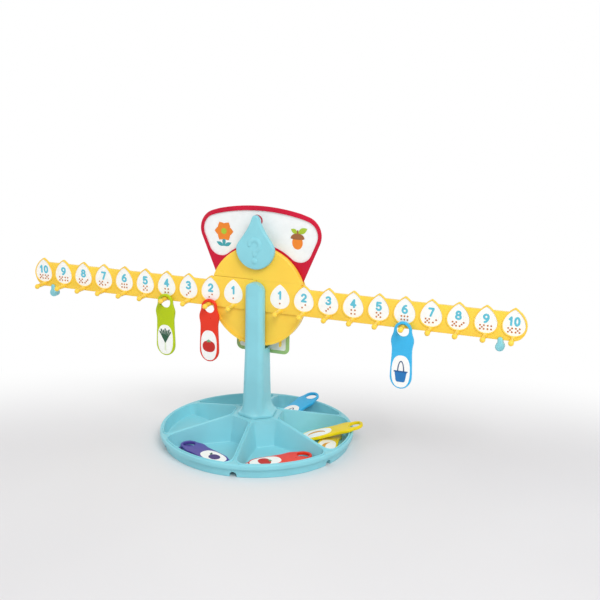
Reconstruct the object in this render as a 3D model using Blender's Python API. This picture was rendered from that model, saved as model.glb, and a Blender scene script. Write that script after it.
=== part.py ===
"""Math balance toy: a numbered beam with pegs that tips on a forked post over a six-pocket tray.

Metres, +Z up, the front faces -Y. The origin is on the table, straight below the pivot.
"""

import math

import bmesh
import bpy
from mathutils import Matrix, Vector

# Gaps and allowances shared by all pieces
CLEARANCE = 0.0003
CUT_OVERRUN = 0.002
WELD_DEPTH = 0.0005

# Where the beam's pivot is, above the table
PIVOT_HEIGHT = 0.121
TILT_LIMIT = 10.0

# Beam arms, measured from the pivot
PEG_PITCH = 0.020
PEGS_PER_ARM = 10
FIRST_RIM_PEG = 2
ARM_TAIL = 0.0105
ARM_TOP = 0.0095
ARM_BOTTOM = 0.0115
ARM_THICKNESS = 0.0032
ARM_END_ROUND = 0.003
TONGUE_TOP = 0.0135
PEG_DROP = 0.0094
PEG_RADIUS = 0.0016
PEG_BALL_RADIUS = 0.0021
PEG_REACH = 0.0096
LABEL_BOTTOM = 0.0074
LABEL_TOP = 0.0117
LABEL_HALF_WIDTH = 0.0079
LABEL_RIM_WIDTH = 0.0013
LABEL_RIM_HEIGHT = 0.0006

# Hub disc at the middle of the beam
HUB_RADIUS = 0.040
HUB_HALF_THICKNESS = 0.004
HUB_EDGE_ROUND = 0.0007
HUB_LIP_WIDTH = 0.0018
HUB_LIP_DROP = 0.0007
HUB_FACE_DROP = 0.0016
CHANNEL_WEB = 0.0013

# Bearing at the pivot
AXLE_RADIUS = 0.0025
AXLE_HEAD_RADIUS = 0.0040
AXLE_HEAD_THICKNESS = 0.0013
AXLE_TIP_DEPTH = 0.0038
BUSH_WALL = 0.0014

# Ballast in the lower half of the hub
BALLAST_WIDTH = 0.032
BALLAST_HEIGHT = 0.011
BALLAST_THICKNESS = 0.0026
BALLAST_DROP = 0.0265

# Screws that hold the hub together and the post to the tray
SCREW_RADIUS = 0.0013
SCREW_HEAD_RADIUS = 0.0026
SCREW_HEAD_THICKNESS = 0.0011
HUB_SCREW_REACH = 0.013
HUB_SCREW_RISE = 0.0065
HUB_SCREW_BITE = 0.0018
POST_SCREW_CIRCLE = 0.0095
POST_SCREWS = 3
POST_SCREW_BITE = 0.0090

# Sign that stands up from the hub
SIGN_TIP_REACH = 0.0373
SIGN_TIP_HEIGHT = 0.0145
SIGN_TIP_ROUND = 0.0006
SIGN_LEAN_SHARE = 0.42
SIGN_CROWN = 0.0712
SIGN_CROWN_RADIUS = 0.152
SIGN_CORNER_ROUND = 0.011
SIGN_THICKNESS = 0.0014
SIGN_LIP_THICKNESS = 0.0006
SIGN_PANEL_THICKNESS = 0.0005
SIGN_REBATE = 0.0009
SIGN_FOOT_DEPTH = 0.0055
SIGN_TOP_BORDER = 0.0037
SIGN_SIDE_BORDER = 0.0028
SIGN_LOW_BORDER = 0.0016
SIGN_LOW_ROUND = 0.0105

# Pointer in front of the hub, on a stem through the hub's curved slot
POINTER_TOP = 0.0650
POINTER_BOTTOM = 0.0226
POINTER_HALF_WIDTH = 0.0160
POINTER_THICKNESS = 0.0037
POINTER_EDGE_ROUND = 0.0012
POINTER_TIP_RADIUS = 0.0030
POINTER_GAP = 0.0008
STEM_HEIGHT = 0.0300
STEM_RADIUS = 0.0024
STEM_SOCKET_DEPTH = 0.0030

# Question card in its rails on the back of the hub
CARD_WIDTH = 0.0462
CARD_TOP = 0.0270
CARD_BOTTOM = 0.0490
CARD_THICKNESS = 0.0008
CARD_CORNER_ROUND = 0.0050
RAIL_WIDTH = 0.0038
RAIL_TOP = 0.0200
RAIL_BOTTOM = 0.0230
RAIL_LIP = 0.0012
RAIL_BITE = 0.0020
PRONG_REACH = 0.0182
PRONG_WIDTH = 0.0028
PRONG_TIP = 0.0410
PRONG_ROOT = 0.0300

# Sliding riders under the arms
RIDER_SET_BACK = 0.0090
RIDER_RADIUS = 0.0033
RIDER_DROP = 0.0166
RIDER_TONGUE_HALF_WIDTH = 0.0019
RIDER_TONGUE_TOP = 0.0080
RIDER_WALL = 0.0014

# Forked post
FORK_GAP = 0.0006
FRONT_LEG_THICKNESS = 0.0059
FRONT_LEG_TOP = 0.0123
REAR_LEG_THICKNESS = 0.0041
REAR_LEG_CAP = 0.0076
SHOULDER_DROP = 0.0427
POST_TOP_HALF_WIDTH = 0.0077
POST_SHOULDER_HALF_WIDTH = 0.0081
POST_BASE_HALF_WIDTH = 0.0089
POST_BASE_FLARE = 0.0024
POST_CORNER_ROUND = 0.0022
FLANGE_THICKNESS = 0.0022
FLANGE_RADIUS = 0.0212
FLANGE_CORNER_ROUND = 0.0035
FLARE_HEIGHT = 0.0150

# Six-pocket tray
POCKETS = 6
FIRST_DIVIDER_ANGLE = -80.0
POCKET_END_ROOM = 0.0032
TRAY_RIM_HEIGHT = 0.0115
TRAY_RIM_WIDTH = 0.0033
TRAY_RIM_ROUND = 0.0010
TRAY_LIP_HEIGHT = 0.0045
TRAY_LIP_OVERHANG = 0.0024
TRAY_FOOT_INSET = 0.0034
TRAY_FOOT_WIDTH = 0.0040
TRAY_FOOT_RISE = 0.0007
TRAY_FLOOR = 0.0020
HUB_TOP = 0.0232
HUB_CORNER_RADIUS = 0.0225
HUB_PLATE = 0.0025
HUB_WALL = 0.0030
DIVIDER_HALF_WIDTH = 0.0015
WALL_DRAFT_SHARE = 0.20
POCKET_OUTER_ROUND = 0.0070
POCKET_INNER_ROUND = 0.0030
POCKET_FLOOR_ROUND = 0.0013
ARCH_HALF_WIDTH = 0.0028
ARCH_HEIGHT = 0.0043

# Counting tokens
TOKEN_THICKNESS = 0.0025
TOKEN_RING_RADIUS = 0.0070
TOKEN_HOLE_RADIUS = 0.0042
TOKEN_LENGTH = 0.0530
TOKEN_FOOT_RADIUS = 0.0078
TOKEN_SWELL = 0.0005
TOKEN_FACE_GAP = 0.0006

# Where the tray's tokens lie: room left to the rim or the hub, and shifts across a pocket
FLAT_TOKEN_RIM_ROOM = 0.0050
FLAT_TOKEN_SHIFT = 0.0013
TOP_TOKEN_TURN = 7.0
YELLOW_TOKEN_HUB_ROOM = 0.0170
YELLOW_TOKEN_SHIFT = 0.0006
YELLOW_TOKEN_TURN = 14.0
BLUE_TOKEN_HUB_ROOM = 0.0138
BLUE_TOKEN_SHIFT = 0.0086
BLUE_TOKEN_TURN = -1.3

# Sizes that follow from those above
ARM_BACK = ARM_THICKNESS - HUB_HALF_THICKNESS
COVER_SPLIT = ARM_BACK + CLEARANCE + CHANNEL_WEB
RIDER_PLACE = PEGS_PER_ARM * PEG_PITCH - RIDER_SET_BACK
REAR_COVER_FRONT = COVER_SPLIT + CLEARANCE
SIGN_FRONT = COVER_SPLIT + CLEARANCE
SIGN_BACK = SIGN_FRONT + SIGN_THICKNESS
FORK_HALF_GAP = HUB_HALF_THICKNESS + FORK_GAP
POST_FRONT = FORK_HALF_GAP + FRONT_LEG_THICKNESS
POST_BACK = FORK_HALF_GAP + REAR_LEG_THICKNESS
CARD_FRONT = POST_BACK + 3 * CLEARANCE
CARD_BACK = CARD_FRONT + CARD_THICKNESS
TOKEN_BACK = HUB_HALF_THICKNESS + LABEL_RIM_HEIGHT + TOKEN_FACE_GAP
TOKEN_HOLE_DROP = TOKEN_HOLE_RADIUS - PEG_RADIUS - CLEARANCE
TOKEN_FOOT = TOKEN_LENGTH - TOKEN_RING_RADIUS + TOKEN_HOLE_DROP
HUB_APOTHEM = HUB_CORNER_RADIUS * math.cos(math.pi / POCKETS)
RIM_INNER = HUB_APOTHEM + TOKEN_LENGTH + POCKET_END_ROOM
TRAY_RADIUS = RIM_INNER + TRAY_RIM_WIDTH
TRAY_OUTER_WALL = TRAY_RADIUS - TRAY_LIP_OVERHANG
FLAT_TOKEN_REACH = math.sqrt((RIM_INNER - FLAT_TOKEN_RIM_ROOM - TOKEN_FOOT_RADIUS) ** 2
                             - (TOKEN_LENGTH / 2 - TOKEN_FOOT_RADIUS) ** 2)
SECTOR = 360.0 / POCKETS

# Numbers of facets
CIRCLE_STEPS = 16
SCREW_STEPS = 8
HUB_STEPS = 54
TRAY_STEPS = 54
POST_STEPS = 44
CORNER_STEPS = 3
PEG_STEPS = 8
LABEL_STEPS = 14
POINTER_STEPS = 36
TOKEN_STEPS = 8


def clear_scene():
    for item in list(bpy.data.objects):
        bpy.data.objects.remove(item)


def look(name, colour, roughness, metallic=0.0):
    """A plain Principled BSDF material; colour is linear red, green, blue."""
    material = bpy.data.materials.new(name)
    material.use_nodes = True
    shader = material.node_tree.nodes["Principled BSDF"]
    shader.inputs["Base Color"].default_value = (*colour, 1.0)
    shader.inputs["Roughness"].default_value = roughness
    shader.inputs["Metallic"].default_value = metallic
    material.diffuse_color = (*colour, 1.0)
    return material


def arc(centre, radius, start, end, steps):
    """Points on a circle in the XZ plane, from angle start to angle end in degrees."""
    points = []
    for step in range(steps + 1):
        angle = math.radians(start + (end - start) * step / steps)
        points.append((centre[0] + radius * math.cos(angle), centre[1] + radius * math.sin(angle)))
    return points


def full_circle(centre, radius, steps):
    return arc(centre, radius, 0.0, 360.0, steps)[:-1]


def rounded(corners, radii, steps=CORNER_STEPS):
    """An outline whose corners are filleted; a radius of zero keeps the corner."""
    outline = []
    count = len(corners)
    for index, radius in enumerate(radii):
        corner = Vector(corners[index])
        before = (Vector(corners[index - 1]) - corner).normalized()
        after = (Vector(corners[(index + 1) % count]) - corner).normalized()
        half_angle = before.angle(after) / 2
        if radius == 0 or half_angle > math.radians(89.5):
            outline.append(tuple(corner))
            continue
        centre = corner + (before + after).normalized() * (radius / math.sin(half_angle))
        first = corner + before * (radius / math.tan(half_angle)) - centre
        turn = math.pi - 2 * half_angle
        side = 1 if before.x * after.y - before.y * after.x < 0 else -1
        for step in range(steps + 1):
            angle = side * turn * step / steps
            swung = Vector((
                first.x * math.cos(angle) - first.y * math.sin(angle),
                first.x * math.sin(angle) + first.y * math.cos(angle),
            ))
            outline.append(tuple(centre + swung))
    return outline


def inset(outline, distance):
    """The outline moved inward by a distance; the outline runs anticlockwise."""
    moved = []
    for index, point in enumerate(outline):
        here = Vector(point)
        inward = []
        for start, end in ((Vector(outline[index - 1]), here),
                           (here, Vector(outline[(index + 1) % len(outline)]))):
            along = (end - start).normalized()
            inward.append(Vector((-along.y, along.x)))
        shift = (inward[0] + inward[1]) / (1 + inward[0].dot(inward[1]))
        moved.append(tuple(here + shift * distance))
    return moved


def drop_outline(bottom, top, half_width, roundness_share, tip_radius, steps):
    """A drop with its tip up: half widths follow sin(t) * sin(t / 2) ** share down its height."""
    middle = (top + bottom) / 2
    half_height = (top - bottom) / 2
    widest = math.acos(-roundness_share / (2 + roundness_share))
    scale = half_width / (math.sin(widest) * math.sin(widest / 2) ** roundness_share)
    side = []
    for step in range(1, steps):
        turn = math.pi * step / steps
        height = middle + half_height * math.cos(turn)
        width = scale * math.sin(turn) * math.sin(turn / 2) ** roundness_share
        from_tip_centre = height - (top - tip_radius)
        if abs(from_tip_centre) < tip_radius:
            width = max(width, math.sqrt(tip_radius ** 2 - from_tip_centre ** 2))
        side.append((width, height))
    left = [(-width, height) for width, height in side]
    right = [(width, height) for width, height in reversed(side)]
    return [(0, top)] + left + [(0, bottom)] + right


def at_depth(outline, depth):
    """The outline's (x, z) points as a ring at one depth along Y."""
    return [Vector((x, depth, z)) for x, z in outline]


def slab_rings(outline, front, back, front_round=0, back_round=0, steps=3):
    """Rings of a slab between two depths, with rounded front and back edges."""
    rings = []
    if front_round:
        for step in range(steps):
            angle = math.pi / 2 * step / steps
            narrow = front_round * (1 - math.sin(angle))
            depth = front + front_round * (1 - math.cos(angle))
            rings.append(at_depth(inset(outline, narrow), depth))
    rings.append(at_depth(outline, front + front_round))
    rings.append(at_depth(outline, back - back_round))
    if back_round:
        for step in range(steps - 1, -1, -1):
            angle = math.pi / 2 * step / steps
            narrow = back_round * (1 - math.sin(angle))
            depth = back - back_round * (1 - math.cos(angle))
            rings.append(at_depth(inset(outline, narrow), depth))
    return rings


def turned_rings(profile, steps, centre=(0, 0), axis="Y"):
    """Circles of a turned piece; the profile lists radius and place along the axis."""
    rings = []
    for radius, place in profile:
        circle = full_circle(centre, radius, steps)
        if axis == "Y":
            rings.append([Vector((x, place, z)) for x, z in circle])
        else:
            rings.append([Vector((x, y, place)) for x, y in circle])
    return rings


def add_rings(mesh, rings, looped=False):
    """Adds one closed body to a bmesh: faces between rings, and end caps unless it is looped."""
    rows = [[mesh.verts.new(point) for point in ring] for ring in rings]
    pairs = list(zip(rows, rows[1:]))
    if looped:
        pairs.append((rows[-1], rows[0]))
    faces = []
    for low, high in pairs:
        for index in range(len(low)):
            following = (index + 1) % len(low)
            faces.append(mesh.faces.new((low[index], low[following], high[following], high[index])))
    if not looped:
        faces.append(mesh.faces.new(list(reversed(rows[0]))))
        faces.append(mesh.faces.new(rows[-1]))
    bmesh.ops.recalc_face_normals(mesh, faces=faces)


def piece(name, bodies, material=None, place=(0, 0, 0), looped=False):
    """One object from one or more lists of rings; place is its origin in the scene."""
    shape = bmesh.new()
    for rings in bodies:
        add_rings(shape, rings, looped)
    data = bpy.data.meshes.new(name)
    shape.to_mesh(data)
    shape.free()
    data.shade_smooth()
    data.set_sharp_from_angle(angle=math.radians(35))
    made = bpy.data.objects.new(name, data)
    made.location = place
    bpy.context.scene.collection.objects.link(made)
    if material:
        data.materials.append(material)
    return made


def shape_with(target, tool, operation):
    """Cuts or joins a helper shape into the target; the helper itself isn't part of the object."""
    tool.hide_render = True
    tool.display_type = "WIRE"
    tool.matrix_world = target.matrix_world.copy()
    tool.location = target.location
    step = target.modifiers.new(tool.name, "BOOLEAN")
    step.object = tool
    step.operation = operation
    step.solver = "EXACT"


def cut(target, name, bodies, looped=False):
    shape_with(target, piece(name, bodies, None, target.location, looped), "DIFFERENCE")


def join(target, name, bodies, looped=False):
    shape_with(target, piece(name, bodies, None, target.location, looped), "UNION")


def mirrored(rings, side):
    """The rings as they are for side 1, or mirrored to -X for side -1."""
    return [[Vector((side * point.x, point.y, point.z)) for point in ring] for ring in rings]


PIVOT = (0, 0, PIVOT_HEIGHT)


def label_outline(grow, steps=LABEL_STEPS // 2):
    """The drop round a number, moved outward by grow."""
    tip_radius = LABEL_RIM_WIDTH / 2 + grow / 2
    return drop_outline(
        -LABEL_BOTTOM - grow, LABEL_TOP + grow, LABEL_HALF_WIDTH + grow, 0.6, tip_radius, steps
    )


def arm_outline():
    """The right arm from the front: bar, taller inner tongue, and a peak behind each rimmed number."""
    end = PEGS_PER_ARM * PEG_PITCH + ARM_TAIL
    bottom_corner = rounded(
        [(0, -ARM_BOTTOM), (end, -ARM_BOTTOM), (end, ARM_TOP)], [0, ARM_END_ROUND, 0]
    )[1:-1]
    top_corner = rounded(
        [(end, -ARM_BOTTOM), (end, ARM_TOP), (0, ARM_TOP)], [0, ARM_END_ROUND, 0]
    )[1:-1]
    outline = [(CLEARANCE / 2, -ARM_BOTTOM)] + bottom_corner + top_corner
    peak = [point for point in label_outline(LABEL_RIM_WIDTH) if point[1] > ARM_TOP]
    peak = sorted(peak, reverse=True)
    shoulder = peak[0][0] + (peak[0][1] - ARM_TOP)
    for number in range(PEGS_PER_ARM, FIRST_RIM_PEG - 1, -1):
        middle = number * PEG_PITCH
        outline.append((middle + shoulder, ARM_TOP))
        outline += [(middle + x, z) for x, z in peak]
        if number > FIRST_RIM_PEG:
            outline.append((middle - shoulder, ARM_TOP))
    tongue_end = math.sqrt(HUB_RADIUS ** 2 - TONGUE_TOP ** 2)
    outline = [point for point in outline if point[0] > tongue_end or point[1] < 0]
    outline += [(tongue_end, LABEL_TOP), (tongue_end - CLEARANCE, TONGUE_TOP)]
    outline.append((CLEARANCE / 2, TONGUE_TOP))
    return outline


def peg_rings(number, side):
    """A round peg with a ball end, standing out of the arm's front face."""
    face = -HUB_HALF_THICKNESS
    ball = face - PEG_REACH + PEG_BALL_RADIUS
    profile = [(PEG_RADIUS, face + WELD_DEPTH), (PEG_RADIUS, ball + PEG_BALL_RADIUS)]
    for degrees in (15, -45):
        angle = math.radians(degrees)
        profile.append((PEG_BALL_RADIUS * math.cos(angle), ball + PEG_BALL_RADIUS * math.sin(angle)))
    return turned_rings(profile, PEG_STEPS, (side * number * PEG_PITCH, -PEG_DROP))


def rim_rings(number, side):
    """The raised rim round one number, sunk a little into the arm so that the two join."""
    face = -HUB_HALF_THICKNESS
    outer = [(side * number * PEG_PITCH + x, z) for x, z in label_outline(LABEL_RIM_WIDTH - CLEARANCE / 2)]
    inner = [(side * number * PEG_PITCH + x, z) for x, z in label_outline(0)]
    return [
        at_depth(outer, face + WELD_DEPTH),
        at_depth(outer, face - LABEL_RIM_HEIGHT),
        at_depth(inner, face - LABEL_RIM_HEIGHT),
        at_depth(inner, face + WELD_DEPTH),
    ]


def arm(name, side, material):
    """One arm of the beam with its pegs and number rims."""
    rings = slab_rings(arm_outline(), -HUB_HALF_THICKNESS, ARM_BACK)
    made = piece(name, [mirrored(rings, side)], material, PIVOT)
    rimmed = range(FIRST_RIM_PEG, PEGS_PER_ARM + 1)
    join(made, name + "_rims", [rim_rings(number, side) for number in rimmed], True)
    pegs = range(1, PEGS_PER_ARM + 1)
    join(made, name + "_pegs", [peg_rings(number, side) for number in pegs])
    bore = AXLE_RADIUS + BUSH_WALL + 3 * CLEARANCE
    reach = HUB_HALF_THICKNESS + CUT_OVERRUN
    cut(made, name + "_bore", [turned_rings([(bore, -reach), (bore, reach)], CIRCLE_STEPS)])
    pilots = []
    for rise in (-HUB_SCREW_RISE, HUB_SCREW_RISE):
        centre = (side * HUB_SCREW_REACH, rise)
        radius = SCREW_RADIUS + CLEARANCE
        depth = ARM_BACK - HUB_SCREW_BITE - CLEARANCE
        pilots.append(turned_rings([(radius, depth), (radius, reach)], SCREW_STEPS, centre))
    cut(made, name + "_pilots", pilots)
    return made


def slot_outline():
    """The curved slot that the pointer's stem moves in, round the pivot."""
    half_width = STEM_RADIUS + 2 * CLEARANCE
    spread = TILT_LIMIT + math.degrees(2 * CLEARANCE / STEM_HEIGHT)
    start = 90 - spread
    end = 90 + spread
    outline = arc((0, 0), STEM_HEIGHT + half_width, start, end, 8)
    centre = (STEM_HEIGHT * math.cos(math.radians(end)), STEM_HEIGHT * math.sin(math.radians(end)))
    outline += arc(centre, half_width, end, end + 180, 6)[1:-1]
    outline += arc((0, 0), STEM_HEIGHT - half_width, end, start, 8)
    centre = (STEM_HEIGHT * math.cos(math.radians(start)), STEM_HEIGHT * math.sin(math.radians(start)))
    outline += arc(centre, half_width, start - 180, start, 6)[1:-1]
    return outline


def hub_bores(target, name):
    """The bush bore, the stem slot and the screw holes through one cover."""
    reach = HUB_HALF_THICKNESS + CUT_OVERRUN
    bore = AXLE_RADIUS + BUSH_WALL + 2 * CLEARANCE
    holes = [turned_rings([(bore, -reach), (bore, reach)], CIRCLE_STEPS)]
    radius = SCREW_RADIUS + CLEARANCE
    for side in (-1, 1):
        for rise in (-HUB_SCREW_RISE, HUB_SCREW_RISE):
            centre = (side * HUB_SCREW_REACH, rise)
            holes.append(turned_rings([(radius, -reach), (radius, reach)], SCREW_STEPS, centre))
    cut(target, name + "_bores", holes)
    cut(target, name + "_slot", [slab_rings(slot_outline(), -reach, reach)])


def box_outline(left, right, bottom, top):
    return [(left, bottom), (right, bottom), (right, top), (left, top)]


def ballast_outline(grow):
    half = BALLAST_WIDTH / 2 + grow
    return box_outline(-half, half, -BALLAST_DROP - BALLAST_HEIGHT / 2 - grow,
                       -BALLAST_DROP + BALLAST_HEIGHT / 2 + grow)


def ballast_depths(grow):
    middle = (COVER_SPLIT + REAR_COVER_FRONT) / 2
    return middle - BALLAST_THICKNESS / 2 - grow, middle + BALLAST_THICKNESS / 2 + grow


def hub_front(material):
    """Front cover: flush with the arms above, set back behind a lip below them."""
    outline = full_circle((0, 0), HUB_RADIUS, HUB_STEPS)
    rings = slab_rings(outline, -HUB_HALF_THICKNESS, COVER_SPLIT, HUB_EDGE_ROUND)
    made = piece("hub_front", [rings], material, PIVOT)
    front = -HUB_HALF_THICKNESS - CUT_OVERRUN
    width = HUB_RADIUS + CUT_OVERRUN
    channel = box_outline(-width, width, -ARM_BOTTOM - CLEARANCE, TONGUE_TOP + CLEARANCE)
    cut(made, "hub_channel", [slab_rings(channel, front, ARM_BACK + CLEARANCE)])
    lip_level = HUB_LIP_DROP - HUB_HALF_THICKNESS
    face_level = HUB_FACE_DROP - HUB_HALF_THICKNESS
    below = box_outline(-width, width, -width, -ARM_BOTTOM - CLEARANCE - WELD_DEPTH / 2)
    cut(made, "hub_lower_step", [slab_rings(below, front, lip_level)])
    inner = HUB_RADIUS - HUB_LIP_WIDTH
    edge = math.degrees(math.asin((ARM_BOTTOM + CLEARANCE - WELD_DEPTH) / inner))
    segment = arc((0, 0), inner, 180 + edge, 360 - edge, HUB_STEPS // 2)
    cut(made, "hub_lower_face", [slab_rings(segment, front, face_level)])
    hub_bores(made, "hub_front")
    pocket = slab_rings(ballast_outline(CLEARANCE), ballast_depths(CLEARANCE)[0],
                        COVER_SPLIT + CUT_OVERRUN)
    cut(made, "hub_front_pocket", [pocket])
    return made


def hub_rear(material):
    """Rear cover with the sign's seat, the card's rails and the two prongs that steady the card."""
    outline = full_circle((0, 0), HUB_RADIUS, HUB_STEPS)
    back = HUB_HALF_THICKNESS
    rings = slab_rings(outline, REAR_COVER_FRONT, back, 0, HUB_EDGE_ROUND)
    made = piece("hub_rear", [rings], material, PIVOT)
    rail_inner = CARD_WIDTH / 2 - RAIL_BITE
    rail_outer = rail_inner + RAIL_WIDTH
    rail_back = CARD_BACK + CLEARANCE + RAIL_LIP
    holders = []
    for side in (-1, 1):
        rail = rounded(box_outline(rail_inner, rail_outer, -RAIL_BOTTOM, RAIL_TOP), [RAIL_LIP / 2] * 4, 2)
        holders.append(mirrored(slab_rings(rail, back - WELD_DEPTH, rail_back), side))
        prong = box_outline(PRONG_REACH - PRONG_WIDTH / 2, PRONG_REACH + PRONG_WIDTH / 2,
                            -PRONG_TIP, -PRONG_ROOT)
        prong = rounded(prong, [PRONG_WIDTH / 3, PRONG_WIDTH / 3, 0, 0], 3)
        holders.append(mirrored(slab_rings(prong, back - 2 * WELD_DEPTH, CARD_FRONT - CLEARANCE), side))
    join(made, "hub_card_holders", holders)
    grooves = []
    for side in (-1, 1):
        groove = box_outline(rail_inner - CUT_OVERRUN, CARD_WIDTH / 2 + CLEARANCE,
                             -RAIL_BOTTOM - CUT_OVERRUN, RAIL_TOP + CUT_OVERRUN)
        grooves.append(mirrored(
            slab_rings(groove, CARD_FRONT - CLEARANCE, CARD_BACK + CLEARANCE), side))
    cut(made, "hub_card_grooves", grooves)
    foot = HUB_RADIUS - SIGN_FOOT_DEPTH - CLEARANCE
    spread = math.degrees(math.asin(SIGN_TIP_HEIGHT / HUB_RADIUS)) - 2.0
    seat = arc((0, 0), HUB_RADIUS + CUT_OVERRUN, spread, 180 - spread, HUB_STEPS // 2)
    seat += arc((0, 0), foot, 180 - spread, spread, HUB_STEPS // 2)
    cut(made, "hub_sign_seat", [
        slab_rings(seat, REAR_COVER_FRONT - CUT_OVERRUN, SIGN_BACK + CLEARANCE)])
    hub_bores(made, "hub_rear")
    sinks = []
    radius = SCREW_HEAD_RADIUS + CLEARANCE
    for side in (-1, 1):
        for rise in (-HUB_SCREW_RISE, HUB_SCREW_RISE):
            sinks.append(turned_rings(
                [(radius, back - SCREW_HEAD_THICKNESS - CLEARANCE), (radius, back + CUT_OVERRUN)],
                SCREW_STEPS, (side * HUB_SCREW_REACH, rise)))
    cut(made, "hub_screw_sinks", sinks)
    pocket = slab_rings(ballast_outline(CLEARANCE), REAR_COVER_FRONT - CUT_OVERRUN,
                        ballast_depths(CLEARANCE)[1])
    cut(made, "hub_rear_pocket", [pocket])
    return made


def hub_bush(material):
    """Plain bearing sleeve between the covers and the axle."""
    inner = AXLE_RADIUS + CLEARANCE
    outer = inner + BUSH_WALL
    half = HUB_HALF_THICKNESS
    profile = [(outer, -half), (outer, half), (inner, half), (inner, -half)]
    return piece("hub_bush", [turned_rings(profile, CIRCLE_STEPS)], material, PIVOT, True)


def ballast(material):
    front, back = ballast_depths(0)
    outline = rounded(ballast_outline(0), [BALLAST_THICKNESS / 2] * 4, 3)
    return piece("ballast", [slab_rings(outline, front, back)], material, PIVOT)


def hub_screws(material):
    """Four self-tapping screws from the rear cover into the arms."""
    head = HUB_HALF_THICKNESS - SCREW_HEAD_THICKNESS
    profile = [(SCREW_RADIUS / 2, ARM_BACK - HUB_SCREW_BITE),
               (SCREW_RADIUS, ARM_BACK - HUB_SCREW_BITE + SCREW_RADIUS),
               (SCREW_RADIUS, head), (SCREW_HEAD_RADIUS, head),
               (SCREW_HEAD_RADIUS, HUB_HALF_THICKNESS - SCREW_HEAD_THICKNESS / 3),
               (SCREW_HEAD_RADIUS - SCREW_HEAD_THICKNESS / 2, HUB_HALF_THICKNESS)]
    for place, side in (("left", -1), ("right", 1)):
        for level, rise in (("low", -HUB_SCREW_RISE), ("high", HUB_SCREW_RISE)):
            centre = (side * HUB_SCREW_REACH, rise)
            rings = turned_rings(profile, SCREW_STEPS, centre)
            piece("hub_screw_" + place + "_" + level, [rings], material, PIVOT)


def crown_height(reach, drop):
    """Height of the sign's top edge at a distance from its middle, lowered by drop."""
    radius = SIGN_CROWN_RADIUS - drop
    return SIGN_CROWN - SIGN_CROWN_RADIUS + math.sqrt(radius ** 2 - reach ** 2)


def side_line(narrow):
    """A point on the sign's slanting right side, moved inward, and the side's direction."""
    along = Vector((SIGN_LEAN_SHARE, 1)).normalized()
    inward = Vector((-along.y, along.x))
    return Vector((SIGN_TIP_REACH, SIGN_TIP_HEIGHT)) + inward * narrow, along, inward


def sign_corner(narrow, drop):
    """Where the sign's side and its top edge would meet without rounding."""
    start, along, _ = side_line(narrow)
    height = SIGN_CROWN - drop
    for _ in range(20):
        reach = start.x + along.x / along.y * (height - start.y)
        height = crown_height(reach, drop)
    return reach, height


def sign_top(narrow, drop, corner_round):
    """The top edge from the right corner to the left one."""
    corner = sign_corner(narrow, drop)
    start, along, _ = side_line(narrow)
    near_side = tuple(start + along * SIGN_TIP_HEIGHT)
    steps = 8
    first = corner[0] - 1.4 * corner_round
    edge = []
    for step in range(steps + 1):
        reach = first * (1 - 2 * step / steps)
        edge.append((reach, crown_height(reach, drop)))
    turn = rounded([near_side, corner, edge[0]], [0, corner_round, 0], 6)[1:-1]
    back = [(-x, z) for x, z in reversed(turn)]
    return turn + edge + back


def sign_outline():
    """The sign's outer edge, with the foot that is held between the covers."""
    foot = HUB_RADIUS - SIGN_FOOT_DEPTH
    spread = math.degrees(math.asin(SIGN_TIP_HEIGHT / HUB_RADIUS))
    tip = (SIGN_TIP_REACH, SIGN_TIP_HEIGHT)
    outline = [tip] + sign_top(0, 0, SIGN_CORNER_ROUND) + [(-tip[0], tip[1])]
    outline += arc((0, 0), foot, 180 - spread, spread, HUB_STEPS // 3)
    return outline


def window_outline(grow):
    """The sign's window: crowned above, following the hub below, with large lower corners."""
    narrow = SIGN_SIDE_BORDER - grow
    drop = SIGN_TOP_BORDER - grow
    low = HUB_RADIUS + SIGN_LOW_BORDER - grow
    fillet = SIGN_LOW_ROUND + grow
    start, along, inward = side_line(narrow)
    base = start + inward * fillet
    reach = low + fillet
    slide = -base.dot(along) + math.sqrt(base.dot(along) ** 2 - base.dot(base) + reach ** 2)
    centre = base + along * slide
    on_hub = math.degrees(math.atan2(centre.y, centre.x))
    on_side = math.degrees(math.atan2(-inward.y, -inward.x))
    right = arc(centre, fillet, on_hub - 180, on_side, 6)
    low_edge = arc((0, 0), low, 180 - on_hub, on_hub, 12)[1:-1]
    left = [(-x, z) for x, z in reversed(right)]
    return low_edge + right + sign_top(narrow, drop, SIGN_CORNER_ROUND - drop) + left


def sign_frame(material):
    """Border of the sign, open in the middle, with a rebate behind for the panel."""
    made = piece("sign_frame", [slab_rings(sign_outline(), SIGN_FRONT, SIGN_BACK)], material, PIVOT)
    cut(made, "sign_window", [
        slab_rings(window_outline(0), SIGN_FRONT - CUT_OVERRUN, SIGN_BACK + CUT_OVERRUN)])
    cut(made, "sign_rebate", [
        slab_rings(window_outline(SIGN_REBATE), SIGN_FRONT + SIGN_LIP_THICKNESS, SIGN_BACK + CUT_OVERRUN)])
    return made


def sign_panel(material):
    front = SIGN_FRONT + SIGN_LIP_THICKNESS + CLEARANCE
    outline = window_outline(SIGN_REBATE - CLEARANCE)
    return piece("sign_panel", [slab_rings(outline, front, front + SIGN_PANEL_THICKNESS)],
                 material, PIVOT)


def question_card(material):
    half = CARD_WIDTH / 2
    outline = rounded(box_outline(-half, half, -CARD_BOTTOM, CARD_TOP), [CARD_CORNER_ROUND] * 4, 6)
    return piece("question_card", [slab_rings(outline, CARD_FRONT, CARD_BACK)], material, PIVOT)


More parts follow.
